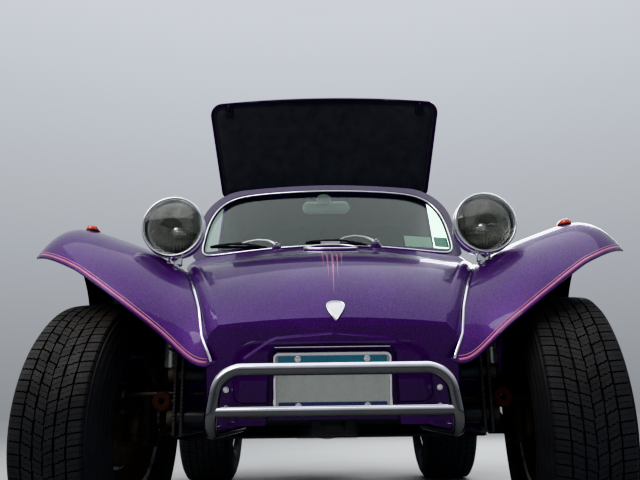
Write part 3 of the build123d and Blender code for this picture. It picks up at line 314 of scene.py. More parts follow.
def chrome(name, colour=(0.82, 0.82, 0.84), rough=(0.03, 0.1), pits=0.02, underside_shade=0.0):
    """Plated metal with smudges and pits, and painted shade, standing in for a reflection of dark ground, on what
    doesn't look up.
    """
    made, tree, bsdf = tree_of(name)
    smudge = noise(tree, 22.0, 5.0, 0.65)
    dull = tuple(c * 0.86 for c in colour)
    base = blend_colour(tree, remap(tree, smudge, 0.0, 1.0), colour, dull)
    if underside_shade:
        # painted shade: faces that don't look up turn towards a dark grey
        base = blend_colour(tree, times(tree, facing_up(tree, 0.42, -0.02), underside_shade), base, (0.05, 0.048, 0.052))
    tree.links.new(base, bsdf.inputs["Base Color"])
    tree.links.new(remap(tree, smudge, rough[0], rough[1]), bsdf.inputs["Roughness"])
    bsdf.inputs["Metallic"].default_value = 1.0
    raise_bump(tree, bsdf, noise(tree, 700.0, 2.0), pits, 0.0003)
    return made


PURPLE = flake_paint("purple_flake", (0.02, 0.003, 0.055), (0.125, 0.022, 0.29))
# painted shade: the windshield frame gets a darker copy of the purple flake paint
FRAME_PAINT_SHADED = flake_paint("purple_flake_frame_painted_shade", (0.01, 0.002, 0.026), (0.052, 0.01, 0.12))
# painted light: the fenders get a brighter copy of the purple flake paint, with a near-black grey on faces that look
# down
FENDER_PAINT_LIT = flake_paint("purple_flake_fender_painted_light", (0.022, 0.003, 0.058), (0.15, 0.03, 0.32),
                           under=(0.012, 0.013, 0.012))
CHROME = chrome("chrome_plate")
# the bumpers carry painted shade on the faces that don't look up
BUMPER_CHROME = chrome("bumper_chrome", underside_shade=0.86)
BRIGHT = chrome("polished_metal", (0.7, 0.7, 0.71), (0.1, 0.26), 0.08)
RUBBER = surface("tyre_rubber", (0.02, 0.02, 0.021), (0.62, 0.85), vary=0.3, scale=11.0, grain=900.0, bump=0.25,
                 dust=0.32, dust_colour=(0.115, 0.1, 0.085))
SEAL = surface("black_seal", (0.012, 0.012, 0.013), (0.5, 0.7), grain=600.0, bump=0.15)
BLACK_PAINT = surface("black_chassis_paint", (0.018, 0.018, 0.02), (0.3, 0.52), scale=18.0, grain=160.0, bump=0.12,
                      coat=0.3, dust=0.25, wear=(0.1, 0.085, 0.07))
CAST = surface("cast_iron", (0.075, 0.068, 0.062), (0.5, 0.75), metal=0.55, vary=0.35, scale=26.0, grain=420.0,
               bump=0.45, dust=0.25, wear=(0.22, 0.2, 0.18))
ALLOY = surface("cast_alloy", (0.42, 0.42, 0.41), (0.38, 0.6), metal=0.8, vary=0.14, scale=24.0, grain=520.0, bump=0.35,
                dust=0.2)
STEEL = surface("bright_steel", (0.46, 0.45, 0.44), (0.25, 0.42), metal=1.0, vary=0.12, scale=30.0, grain=600.0,
                bump=0.1)
WHEEL_ALLOY = surface("wheel_alloy", (0.6, 0.6, 0.6), (0.2, 0.36), metal=1.0, vary=0.1, scale=20.0, grain=500.0,
                      bump=0.08, coat=0.4, dust=0.18)
SHOCK = surface("shock_enamel", (0.55, 0.55, 0.53), (0.22, 0.38), metal=0.6, vary=0.08, scale=30.0, bump=0.05, coat=0.3,
                dust=0.2)
# the shock absorbers are pale only above z 0.526 and near black below z 0.52; the blend is a few millimetres of z wide
tree = SHOCK.node_tree
socket = tree.nodes["Principled BSDF"].inputs["Base Color"]
upper = remap(tree, part_of(tree, point_of(tree), "Z"), 0.0, 1.0, 0.52, 0.526)
tree.links.new(blend_colour(tree, upper, (0.012, 0.012, 0.013), socket.links[0].from_socket), socket)
CAST_DARK = surface("cast_iron_dark", (0.026, 0.024, 0.023), (0.5, 0.75), metal=0.4, vary=0.35, scale=26.0, grain=420.0,
                    bump=0.45, dust=0.2, wear=(0.12, 0.11, 0.1))
BEAM_PAINT = surface("beam_paint", (0.01, 0.01, 0.011), (0.35, 0.55), scale=18.0, grain=160.0, bump=0.15, coat=0.2,
                     wear=(0.05, 0.048, 0.046))
ROD_STEEL = surface("rod_steel", (0.09, 0.086, 0.082), (0.35, 0.55), metal=0.8, vary=0.25, scale=40.0, grain=500.0,
                    bump=0.15, dust=0.2)
STOP_RUBBER = surface("brown_stop_rubber", (0.021, 0.007, 0.0045), (0.55, 0.75), vary=0.3, scale=60.0, grain=300.0,
                      bump=0.2, dust=0.08)
DARK_PLASTIC = surface("dark_plastic", (0.022, 0.022, 0.024), (0.42, 0.58), vary=0.2, scale=40.0, grain=900.0,
                       bump=0.25)
DASH = surface("dash_vinyl", (0.024, 0.023, 0.026), (0.48, 0.66), vary=0.15, scale=25.0, grain=650.0, bump=0.45)
AMBER = surface("amber_lens", (0.85, 0.16, 0.02), (0.08, 0.18), vary=0.08, scale=30.0, grain=240.0, bump=0.1, coat=0.8)
PINK = surface("pink_stripe", (0.5, 0.135, 0.27), (0.25, 0.35), vary=0.08, scale=18.0, bump=0.02, coat=0.8)
SCREEN_GLASS = clear_glass("screen_tint", (0.62, 0.74, 0.66))
REAR_GLASS = clear_glass("rear_tint", (0.5, 0.58, 0.54))
LENS_GLASS = clear_glass("lamp_lens_glass", (0.93, 0.95, 0.96))
FLOOR = surface("pale_floor", (0.47, 0.47, 0.46), (0.6, 0.75), vary=0.02, scale=2.0, grain=80.0, bump=0.02)

# ---------------------------------------------------------------- mesh helpers


def piece(name, mesh, body, material, smooth=True, angle=None):
    """An object from a mesh or a bmesh, riding on a body."""
    if isinstance(mesh, bmesh.types.BMesh):
        data = bpy.data.meshes.new(name)
        mesh.to_mesh(data)
        mesh.free()
    else:
        data = mesh
    made = bpy.data.objects.new(name, data)
    bpy.context.collection.objects.link(made)
    for item in material if isinstance(material, (list, tuple)) else [material]:
        data.materials.append(item)
    for face in data.polygons:
        face.use_smooth = smooth
    if smooth and angle:
        data.set_sharp_from_angle(angle=math.radians(angle))
    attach(made, body)
    return made


def from_lists(verts, faces):
    made = bmesh.new()
    corners = [made.verts.new(v) for v in verts]
    for face in faces:
        try:
            made.faces.new([corners[i] for i in face])
        except ValueError:
            pass
    bmesh.ops.recalc_face_normals(made, faces=made.faces)
    return made


def ring_faces(rows, count, closed_rows=False, closed_ring=True):
    """Quads between rows of count points each."""
    faces = []
    total = rows if closed_rows else rows - 1
    for r in range(total):
        a, b = r * count, ((r + 1) % rows) * count
        for i in range(count if closed_ring else count - 1):
            j = (i + 1) % count
            faces.append((a + i, a + j, b + j, b + i))
    return faces


def sweep(points, section, closed=False, ups=None, scales=None):
    """A closed section of (side, up) points carried along a path. The path's frame turns as little as it can."""
    points = [Vector(p) for p in points]
    n = len(points)
    verts = []
    up = None
    for i, p in enumerate(points):
        before = points[i - 1] if i or closed else p
        after = points[(i + 1) % n] if i < n - 1 or closed else p
        tangent = (after - before).normalized()
        if ups:
            up = Vector(ups[i])
        elif up is None:
            up = Vector((0, 0, 1)) if abs(tangent.z) < 0.9 else Vector((0, 1, 0))
        up = (up - tangent * up.dot(tangent)).normalized()
        side = tangent.cross(up)
        scale = scales[i] if scales else 1.0
        verts += [p + side * (s * scale) + up * (u * scale) for s, u in section]
    return prism(verts, len(section), closed)


def prism(verts, count, closed=False):
    """Rings of count points, one after the other, closed at both ends or joined into a loop."""
    rings = len(verts) // count
    ends = [] if closed else [tuple(range(count)), tuple(range((rings - 1) * count, rings * count))]
    return from_lists(verts, ring_faces(rings, count, closed_rows=closed) + ends)


def directions(count):
    """The cosine and sine of evenly spaced angles all the way round."""
    angles = [2 * math.pi * k / count for k in range(count)]
    return [(math.cos(a), math.sin(a)) for a in angles]


def circle(radius, sides=12, squash=1.0):
    return [(radius * c, squash * radius * s) for c, s in directions(sides)]


def lathe(profile, origin, axis, segments=48, closed=True):
    """A profile of (along, radius) points turned about an axis. A closed profile gives a closed ring."""
    axis = Vector(axis).normalized()
    first = axis.orthogonal().normalized()
    second = axis.cross(first)
    origin = Vector(origin)
    verts = [origin + axis * a + (first * c + second * s) * max(r, 0.0) for a, r in profile
             for c, s in directions(segments)]
    faces = ring_faces(len(profile), segments, closed_rows=closed)
    made = from_lists(verts, faces)
    if not closed:
        bmesh.ops.holes_fill(made, edges=[e for e in made.edges if e.is_boundary])
    bmesh.ops.remove_doubles(made, verts=made.verts, dist=1e-6)
    bmesh.ops.recalc_face_normals(made, faces=made.faces)
    return made


def join(*parts):
    made = bmesh.new()
    for part in parts:
        scratch = bpy.data.meshes.new("scratch")
        part.to_mesh(scratch)
        part.free()
        made.from_mesh(scratch)
        bpy.data.meshes.remove(scratch)
    return made


def hex_bolts(places, radius=0.008, height=0.006):
    """Hexagon heads with a washer each. places holds (point, outward direction)."""
    parts = []
    for point, out in places:
        out = Vector(out).normalized()
        parts.append(lathe([(0, 0), (0.0, radius * 1.35), (0.0014, radius * 1.3), (0.0014, 0)], point, out, 16, False))
        head = [(0.0012, 0), (0.0012, radius), (height, radius), (height + 0.0012, radius * 0.72), (height + 0.0012, 0)]
        parts.append(lathe(head, point, out, 6, False))
    return join(*parts)


TREES = {}


def skin_of(node):
    """The node's surface for ray casts and nearest points."""
    if node not in TREES:
        mesh = NODES[node].data
        TREES[node] = BVHTree.FromPolygons([v.co for v in mesh.vertices], [p.vertices for p in mesh.polygons])
    return TREES[node]


def hit(node, start, direction):
    found, normal, _, _ = skin_of(node).ray_cast(Vector(start), Vector(direction).normalized())
    return (found, normal) if found else None


def smooth_path(points, rounds=2):
    points = [Vector(p) for p in points]
    for _ in range(rounds):
        points = [points[0]] + [(a + 2 * b + c) / 4 for a, b, c in zip(points, points[1:], points[2:])] + [points[-1]]
    return points


def resample(points, count):
    points = [Vector(p) for p in points]
    lengths = [0.0]
    for a, b in zip(points, points[1:]):
        lengths.append(lengths[-1] + (b - a).length)
    made, k = [], 0
    for i in range(count):
        target = lengths[-1] * i / (count - 1)
        while k < len(points) - 2 and lengths[k + 1] < target:
            k += 1
        span = lengths[k + 1] - lengths[k]
        made.append(points[k].lerp(points[k + 1], (target - lengths[k]) / span if span else 0))
    return made

# ---------------------------------------------------------------- floor

floor_mesh = bmesh.new()
bmesh.ops.create_grid(floor_mesh, x_segments=1, y_segments=1, size=30)
floor_data = bpy.data.meshes.new("floor")
floor_mesh.to_mesh(floor_data)
floor_mesh.free()
floor = bpy.data.objects.new("floor", floor_data)
floor_data.materials.append(FLOOR)
bpy.context.collection.objects.link(floor)
floor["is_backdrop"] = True

# ---------------------------------------------------------------- finishes of the CAD nodes

FINISHES = {
    "floor_pan": BLACK_PAINT, "front_beam": BEAM_PAINT, "front_arms": CAST_DARK, "front_shocks": SHOCK,
    "bump_stops": STOP_RUBBER, "knuckle_left": CAST_DARK, "knuckle_right": CAST_DARK, "tie_rod_left": ROD_STEEL,
    "tie_rod_right": ROD_STEEL, "drop_arm": CAST, "steering_box": CAST, "rear_axle": BLACK_PAINT, "rear_shocks": SHOCK,
    "transaxle": ALLOY, "engine_case": ALLOY, "cylinder_banks": CAST, "fan_shroud": CHROME, "generator": BLACK_PAINT,
    "carburettor": ALLOY, "exhaust": CHROME, "dashboard": DASH, "windshield_glass": SCREEN_GLASS,
    "rear_window": REAR_GLASS, "headlamp_shells": CHROME, "headlamp_lenses": LENS_GLASS, "marker_lamps": AMBER,
    "tail_lamps": CHROME, "front_bumper": BUMPER_CHROME, "rear_bumper": BUMPER_CHROME, "steering_wheel": DARK_PLASTIC,
    "steering_column": BLACK_PAINT, "wipers": STEEL, "mirror_inside": DARK_PLASTIC, "levers": CHROME,
    "windshield_frame": FRAME_PAINT_SHADED,
}
FAMILIES = (("fender_", FENDER_PAINT_LIT), ("tyre_", RUBBER), ("wheel_", WHEEL_ALLOY), ("", PURPLE))
for name, node in NODES.items():
    finish = FINISHES.get(name) or next(paint for start, paint in FAMILIES if name.startswith(start))
    for place in node.material_slots:
        place.material = finish

# ---------------------------------------------------------------- tyres

KINGPIN = (0.59, -1.02)
STEER_AT_REST = math.radians(-6.5)
WHEEL_CENTRES = {"front": (0.676, -1.02, 0.362), "rear": (0.69, 1.02, 0.375)}


def wheel_place(end, side):
    """The matrix that takes a left wheel's own coordinates (axis X, outside at +X) to its place."""
    x, y, z = WHEEL_CENTRES[end]
    made = Matrix.Translation((side * x, y, z)) @ Matrix.Scale(side, 4, (1, 0, 0))
    if end == "rear":
        return made
    pin = Vector((side * KINGPIN[0], KINGPIN[1], 0))
    return Matrix.Translation(pin) @ Matrix.Rotation(STEER_AT_REST, 4, "Z") @ Matrix.Translation(-pin) @ made


def placed(mesh, matrix):
    mesh.transform(matrix)
    if matrix.determinant() < 0:
        bmesh.ops.reverse_faces(mesh, faces=mesh.faces)
    return mesh


def circle_through(a, b, c):
    """Centre and radius of the circle through three flat points."""
    d = 2 * (a[0] * (b[1] - c[1]) + b[0] * (c[1] - a[1]) + c[0] * (a[1] - b[1]))
    sa, sb, sc = a[0] ** 2 + a[1] ** 2, b[0] ** 2 + b[1] ** 2, c[0] ** 2 + c[1] ** 2
    cx = (sa * (b[1] - c[1]) + sb * (c[1] - a[1]) + sc * (a[1] - b[1])) / d
    cy = (sa * (c[0] - b[0]) + sb * (a[0] - c[0]) + sc * (b[0] - a[0])) / d
    return cx, cy, math.hypot(a[0] - cx, a[1] - cy)


def arc(a, b, c, steps):
    """Points on the circle through three flat points, from a to c."""
    cx, cy, r = circle_through(a, b, c)
    angles = [math.atan2(p[1] - cy, p[0] - cx) for p in (a, b, c)]
    for i in (1, 2):
        while angles[i] - angles[i - 1] > math.pi:
            angles[i] -= 2 * math.pi
        while angles[i] - angles[i - 1] < -math.pi:
            angles[i] += 2 * math.pi
    span = angles[2] - angles[0]
    return [(cx + r * math.cos(angles[0] + span * i / steps), cy + r * math.sin(angles[0] + span * i / steps))
            for i in range(steps + 1)]


TREAD_DEPTH = 0.0085
# name of the end, overall radius, half section, half tread, half rim, pitches round the tyre
TYRES = {"front": (0.362, 0.116, 0.095, 0.089, 74), "rear": (0.375, 0.141, 0.12, 0.1145, 70)}
BEAD = 0.19


def half_profile(end):
    """The tyre's outer line from the middle of the tread to the bead, as (x, radius)."""
    r, half, tread, rim, _ = TYRES[end]
    wall = BEAD + 0.42 * (r - BEAD)
    line = arc((-(tread - 0.008), r - 0.004), (0, r), (tread - 0.008, r - 0.004), 16)[8:]
    line += arc((tread - 0.008, r - 0.004), (tread + 0.004, r - 0.009), (tread + 0.008, r - 0.02), 6)[1:]
    line += arc((tread + 0.008, r - 0.02), (half - 0.003, r - 0.045), (half, wall), 12)[1:]
    line += arc((half, wall), (half - 0.001, wall - 0.035), (rim - 0.002, BEAD + 0.02), 10)[1:]
    line += [(rim - 0.011, BEAD + 0.017), (rim - 0.0124, BEAD + 0.0003)]
    return line


def along_profile(line, distance):
    """The point on a profile at an arc length from its start, with its outward direction."""
    gone = 0.0
    for a, b in zip(line, line[1:]):
        step = math.hypot(b[0] - a[0], b[1] - a[1])
        if gone + step >= distance:
            k = (distance - gone) / step
            tangent = ((b[0] - a[0]) / step, (b[1] - a[1]) / step)
            return (a[0] + k * (b[0] - a[0]), a[1] + k * (b[1] - a[1])), (-tangent[1], tangent[0])
        gone += step
    return line[-1], (1, 0)


def tread_point(line, lateral, around, lift, radius):
    """A point of the tread. lateral is the signed arc length from the middle, around the length round the tyre."""
    (x, r), (nx, nr) = along_profile(line, abs(lateral))
    s = 1 if lateral >= 0 else -1
    x, r = x + nx * lift, r + nr * lift
    angle = around / radius
    return Vector((s * x, -r * math.sin(angle), r * math.cos(angle)))


# inner and outer edge of a row as shares of the half tread, blocks in a pitch, slant, zigzag, groove between pitches
TREAD_ROWS = [
    (0.016, 0.265, 2, 0.34, 0.0013, 0.0026),
    (-0.265, -0.016, 2, 0.34, 0.0013, 0.0026),
    (0.315, 0.6, 2, 0.42, 0.0015, 0.003),
    (-0.6, -0.315, 2, 0.42, 0.0015, 0.003),
    (0.645, 1.09, 2, 0.16, 0.0011, 0.0034),
    (-1.09, -0.645, 2, 0.16, 0.0011, 0.0034),
]
SHOULDER = 1.08
SIPE = 0.0008


def tread_blocks(end):
    """All tread blocks of a tyre: rows of slanted blocks split by zigzag sipes, with lugs over the shoulders."""
    r, _, tread, _, pitches = TYRES[end]
    line = half_profile(end)
    pitch = 2 * math.pi * r / pitches
    verts, faces = [], []
    for row, (inner, outer, split, slant, zig, groove) in enumerate(TREAD_ROWS):
        shoulder = abs(inner + outer) > 1.2
        steps = 9 if shoulder else 6
        for k in range(pitches * split):
            major = k % split == 0
            start = pitch * (k / split + 0.37 * row) + (groove / 2 if major else SIPE / 2)
            stop = pitch * ((k + 1) / split + 0.37 * row) - (groove / 2 if k % split == split - 1 else SIPE / 2)
            jog = 0.0009 * (1 if (k // split) % 2 else -1) if not shoulder else 0.0
            first = len(verts)
            for i in range(steps):
                u = i / (steps - 1)
                share = inner + (outer - inner) * u
                lateral = share * tread + jog
                drift = slant * (u
                                 - 0.5) * pitch * (1
                                                   if row % 2 else -1) + zig * (1
                                                                                if i % 2 else -1) * (0 < i < steps - 1)
                fall = 0.0 if abs(share) < 0.97 else -0.004 * (abs(share) - 0.97) / 0.12
                for around in (start, stop):
                    verts.append(tread_point(line, lateral, around + drift, fall, r))
                for around, spread in ((start, -0.0005), (stop, 0.0005)):
                    verts.append(tread_point(line, lateral, around + drift + spread, -TREAD_DEPTH, r))
            for i in range(steps - 1):
                a, b = first + 4 * i, first + 4 * (i + 1)
                faces += [(a, a + 1, b + 1, b), (a, b, b + 2, a + 2), (a + 1, a + 3, b + 3, b + 1),
                          (a + 2, b + 2, b + 3, a + 3)]
            last = first + 4 * (steps - 1)
            faces += [(first, first + 2, first + 3, first + 1), (last, last + 1, last + 3, last + 2)]
    return from_lists(verts, faces)


def carcass(end):
    """The tyre without its tread blocks: grooved crown, ribbed shoulders and walls, inner liner."""
    r, half, tread, rim, _ = TYRES[end]
    outer = []
    line = half_profile(end)
    gone = 0.0
    for i, (x, rr) in enumerate(line):
        if i:
            gone += math.hypot(x - line[i - 1][0], rr - line[i - 1][1])
        share = gone / tread
        drop = TREAD_DEPTH if share < SHOULDER else max(0.0, TREAD_DEPTH * (1 - (share - SHOULDER) / 0.06))
        _, (nx, nr) = along_profile(line, gone)
        outer.append((x - nx * drop, rr - nr * drop))
    fine = []
    for i, point in enumerate(outer):
        fine.append(point)
        if i + 1 < len(outer) and outer[i + 1][1] < r - 0.03 and outer[i + 1][1] > BEAD + 0.022:
            a, b = Vector(point), Vector(outer[i + 1])
            normal = Vector((-(b - a).y, (b - a).x)).normalized()
            if i % 3 == 0:
                for share, lift in ((0.3, 0.0), (0.36, 0.0012), (0.56, 0.0012), (0.62, 0.0)):
                    spot = a.lerp(b, share) + normal * lift
                    fine.append((spot.x, spot.y))
    inner = [(rim - 0.028, BEAD + 0.0003), (rim - 0.026, BEAD + 0.018),
             (half - 0.014, BEAD + 0.42 * (r - BEAD) + 0.004), (tread - 0.012, r - 0.022), (0, r - 0.02)]
    right = fine + inner
    left = [(-x, rr) for x, rr in reversed(right[1:-1])]
    return lathe(right + left, (0, 0, 0), (1, 0, 0), 120)


for end in ("front", "rear"):
    for word, side in SIDES:
        tyre = placed(join(carcass(end), tread_blocks(end)), wheel_place(end, side))
        made = piece(f"tyre_dressed_{end}_{word}", tyre, f"wheel_{end}_{word}", RUBBER,
                     angle=32)
        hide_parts(f"tyre_{end}_{word}")

# ---------------------------------------------------------------- hatch lining and latches

HINGE = Vector((0, 0.224, 1.497))
HATCH_PLACE = Matrix.Translation(HINGE) @ Matrix.Rotation(math.radians(-54.8), 4, "X")


def round_corner(a, corner, b, radius, steps=6):
    """Points of the arc that rounds a corner."""
    a, corner, b = Vector(a), Vector(corner), Vector(b)
    u, v = (a - corner).normalized(), (b - corner).normalized()
    half = u.angle(v) / 2
    reach = radius / math.tan(half)
    centre = corner + (u + v).normalized() * (radius / math.sin(half))
    start, stop = corner + u * reach - centre, corner + v * reach - centre
    made = []
    for i in range(steps + 1):
        spot = start.lerp(stop, i / steps)
        made.append(centre + spot.normalized() * radius)
    return made


def hatch_outline(inset):
    """The hatch's plan in its own frame, in metres."""
    front, back = -0.488 + inset, -0.002 - inset
    w0, w1 = 0.54 - inset, 0.577 - inset
    corners = [(w0, back, 0.03), (w1, front, 0.062), (-w1, front, 0.062), (-w0, back, 0.03)]
    points = []
    for i, (x, y, radius) in enumerate(corners):
        a, b = corners[i - 1][:2], corners[(i + 1) % 4][:2]
        points += round_corner(a, (x, y), b, max(radius - inset, 0.008))
        if i == 1:
            for k in range(1, 16):
                s = 1 - 2 * k / 16
                points.append(Vector((w1 * 0.9 * s, front)))
    return [Vector((p.x, p.y - 0.026 * max(0.0, 1 - (p.x / w1) ** 2) * (p.y < front + 0.07))) for p in points]


def hatch_lining():
    rings = [(0.009, -0.004), (0.01, -0.0065), (0.022, -0.0095), (0.026, -0.0065), (0.03, -0.01), (0.06, -0.0125),
             (0.12, -0.013)]
    outline = [hatch_outline(inset) for inset, _ in rings]
    verts = []
    for (inset, drop), loop in zip(rings, outline):
        verts += [Vector((p.x, p.y, 0.006 - 0.016 * (p.x / 0.62) ** 2 + drop)) for p in loop]
    n = len(outline[0])
    for share in (0.66, 0.33, 0.0):
        verts += [Vector((p.x * share, -0.25 + (p.y + 0.25) * share, 0.006 - 0.016 * (p.x * share / 0.62) ** 2
                          - 0.0125)) for p in outline[-1]]
    faces = ring_faces(len(rings) + 3, n)
    faces.append(tuple(range(n)))
    made = from_lists(verts, faces)
    bmesh.ops.remove_doubles(made, verts=made.verts, dist=1e-5)
    bmesh.ops.recalc_face_normals(made, faces=made.faces)
    return placed(made, HATCH_PLACE)


LINING = surface("hatch_lining_cloth", (0.04, 0.041, 0.045), (0.75, 0.92), vary=0.2, scale=16.0, grain=1100.0, bump=0.5,
                 sheen=0.15)
piece("hatch_lining", hatch_lining(), "roof_hatch", LINING, angle=50)

latches = []
for x in (-0.48, 0.48):
    plate = bmesh.new()
    bmesh.ops.create_cube(plate, size=1.0)
    plate.transform(Matrix.Translation((x, -0.452, -0.0105)) @ Matrix.Diagonal((0.04, 0.052, 0.021, 1)))
    bmesh.ops.bevel(plate, geom=list(plate.edges), offset=0.004, segments=2, affect="EDGES")
    claw = sweep([(x, -0.452, -0.018), (x, -0.463, -0.03), (x, -0.48, -0.033), (x, -0.486, -0.024)], circle(0.004, 10))
    latches += [plate, claw, hex_bolts([((x + 0.012, -0.44, -0.021), (0, 0, -1)),
                                        ((x - 0.012, -0.44, -0.021), (0, 0, -1))], 0.004, 0.003)]
piece("hatch_latches", placed(join(*latches), HATCH_PLACE), "roof_hatch", DARK_PLASTIC, angle=40)

# ---------------------------------------------------------------- beads and stripes on the body


def near_point(node, point, limit=0.05):
    found, normal, _, _ = skin_of(node).find_nearest(Vector(point), limit)
    return (found, normal) if found else None


def surface_strip(node, path, width, lift=0.0009, count=60, taper=False):
    """A thin painted stripe that lies on a node's skin along a path."""
    path = resample(path, count)
    verts = []
    for i, p in enumerate(path):
        tangent = (path[min(i + 1, count - 1)] - path[max(i - 1, 0)]).normalized()
        spot, normal = near_point(node, p)
        side = tangent.cross(normal).normalized()
        half = width / 2 * (min(1.0, 3.0 * (1 - i / (count - 1))) if taper else 1.0)
        edge = []
        for s in (-half, half):
            q, n = near_point(node, spot + side * s + normal * 0.002)
            if n.dot(normal) < 0:
                n = -n
            edge += [q + n * lift, q - n * 0.0006]
        verts += [edge[0], edge[2], edge[3], edge[1]]
    return prism(verts, 4)


def seam_points(side):
    """Where the front fender's outer face meets the nose, from the front lip back to the cowl."""
    word = "left" if side > 0 else "right"
    nose = skin_of("nose_shell")
    close = []
    for v in NODES[f"fender_front_{word}"].data.vertices:
        if -1.315 < v.co.y < -0.6 and nose.find_nearest(v.co, 0.0016)[0] is not None:
            close.append(v.co.copy())
    points = []
    for k in range(0, 70):
        y = -1.312 + k * 0.01
        here = [c for c in close if abs(c.y - y) < 0.012]
        if here:
            top = max(here, key=lambda c: c.z)
            points.append(Vector((top.x, y, top.z)))
    return smooth_path(points, 6)


# the bead's lowest points on the left, from the front panel's corner up to where the seam can be felt
BEAD_FOOT = [(0.3168, -1.3185, 0.5225), (0.3228, -1.316, 0.538), (0.3292, -1.3125, 0.552), (0.3358, -1.308, 0.566),
             (0.3424, -1.302, 0.58), (0.348, -1.293, 0.591)]
for word, side in SIDES:
    out = Vector((side * 0.7, -0.25, 0.67)).normalized()
    lifted = [p + out * 0.0012 for p in seam_points(side)[6:]]
    lifted = [Vector((side * x, y, z)) for x, y, z in BEAD_FOOT if z < lifted[0].z - 0.006] + lifted
    bead = sweep(resample(lifted, 90), circle(0.0046, 10))
    piece(f"seam_bead_{word}", bead, "body", CHROME)


def lip_arc(x, rows, crest_y):
    """The section circle of a fender at x, from interpolated table rows: centre y and z, radius, angle of the lip."""
    a, b = next((a, b) for a, b in zip(rows, rows[1:]) if a[0] <= x <= b[0])
    k = (x - a[0]) / (b[0] - a[0])
    _, y0, z0, top, y1, z1 = (p + (q - p) * k for p, q in zip(a, b))
    cy, cz, r = circle_through((y0, z0), (crest_y, top), (y1, z1))
    return cy, cz, r, math.atan2(z0 - cz, y0 - cy)


# x, front lip y and z, crest z, rear end y and z, as in the part
FRONT_FENDER = [
    (0.3, -1.314, 0.528, 0.774, -0.585, 0.45), (0.4, -1.314, 0.549, 0.81, -0.585, 0.45),
    (0.48, -1.311, 0.62, 0.846, -0.585, 0.45), (0.6, -1.297, 0.709, 0.912, -0.585, 0.455),
    (0.72, -1.245, 0.792, 0.957, -0.59, 0.49), (0.8, -1.205, 0.829, 0.977, -0.6, 0.54),
    (0.85, -1.172, 0.846, 0.966, -0.618, 0.6), (0.876, -1.15, 0.848, 0.93, -0.65, 0.65),
]


def lip_height(node, side, x):
    """The height of a fender's front edge at x, felt for from in front."""
    z = 0.47
    while z < 0.7:
        found = hit(node, (side * x, -1.6, z), (0, 1, 0))
        if found and found[0].y < -1.24:
            return z
        z += 0.001
    return None


def lip_path(node, side, back, first=0.328, last=0.862):
    """A line on a front fender's outer face, so far back from its lip. Near the nose it follows the edge as felt."""
    points = []
    for k in range(61):
        x = first + (last - first) * k / 60
        level = lip_height(node, side, x) if x < 0.6 else None
        felt = hit(node, (side * x, -1.6, level + 0.0006 + back * 0.95), (0, 1, 0)) if level else None
        cy, cz, r, start = lip_arc(x, FRONT_FENDER, -1.0)
        angle = start - back / r
        out = r + 0.004
        spot, _ = near_point(node, (side * x, cy + out * math.cos(angle), cz + out * math.sin(angle)))
        if felt and felt[0].y < -1.2:
            spot = felt[0].lerp(spot, min(1.0, max(0.0, (x - 0.5) / 0.1)))
        points.append(spot)
    return smooth_path(points, 3)


for word, side in SIDES:
    node = f"fender_front_{word}"
    stripes = [surface_strip(node, lip_path(node, side, 0.0085), 0.0066),
               surface_strip(node, lip_path(node, side, 0.0185), 0.0026)]
    piece(f"fender_stripes_{word}", join(*stripes), "body", PINK)
    rolled = [p + Vector((0, 0.004, -0.0022)) for p in lip_path(node, side, 0.0015, 0.324, 0.868)]
    piece(f"fender_lip_{word}", sweep(resample(rolled, 70), circle(0.0042, 10)), "body", PURPLE)

# ---------------------------------------------------------------- hood: stripes, badge, cowl vent


def on_hood(x, y, lift=0.0):
    found, normal = hit("nose_shell", (x, y, 1.3), (0, 0, -1))
    if normal.z < 0:
        normal = -normal
    return found + normal * lift


STRIPE_MID, STRIPE_TOP = 0.008, -0.705
hood_stripes = []
# offset at the vent, offset at the far end, far y, width
for x0, x1, far, width in ((0.0, 0.0, -1.268, 0.0068), (-0.019, -0.0135, -1.215, 0.0052),
                           (0.019, 0.0135, -1.215, 0.0052), (-0.036, -0.027, -1.15, 0.0052),
                           (0.036, 0.027, -1.15, 0.0052)):
    path = [on_hood(STRIPE_MID + x0 + (x1 - x0) * k / 40, STRIPE_TOP + (far - STRIPE_TOP) * k / 40) for k in range(41)]
    hood_stripes.append(surface_strip("nose_shell", path, width, count=90, taper=True))
piece("hood_stripes", join(*hood_stripes), "body", PINK)

BADGE_PLANE = (Vector((0.0105, -1.2965, 0.6535)), Vector((0, 0.56, 0.8285)), Vector((0, -0.8285, 0.56)))


def on_slope(u, v, lift):
    """A point over the hood's front slope, found square to the badge's plane."""
    start = BADGE_PLANE[0] + Vector((u, 0, 0)) + BADGE_PLANE[1] * v + BADGE_PLANE[2] * 0.05
    found, _ = hit("nose_shell", start, -BADGE_PLANE[2])
    return found + BADGE_PLANE[2] * lift


def badge(outline_points, thickness, rim):
    """A badge bent to the slope: a raised rim round a bare field."""
    rows = [(1.0, 0.0), (1.0, thickness), (1 - rim * 0.5, thickness + 0.0008), (1 - rim, thickness),
            (1 - rim * 1.15, thickness - 0.0006), (0.5, thickness - 0.0003)]
    verts, n = [], len(outline_points)
    for share, lift in rows:
        verts += [on_slope(u * share, v * share, lift) for u, v in outline_points]
    verts.append(on_slope(0, 0, thickness - 0.0001))
    last = (len(rows) - 1) * n
    faces = ring_faces(len(rows), n) + [(last + i, last + (i + 1) % n, len(verts) - 1) for i in range(n)]
    return from_lists(verts, faces)


BADGE_WHITE = surface("badge_enamel", (0.78, 0.78, 0.76), (0.12, 0.22), vary=0.04, scale=60.0, bump=0.02, coat=1.0)
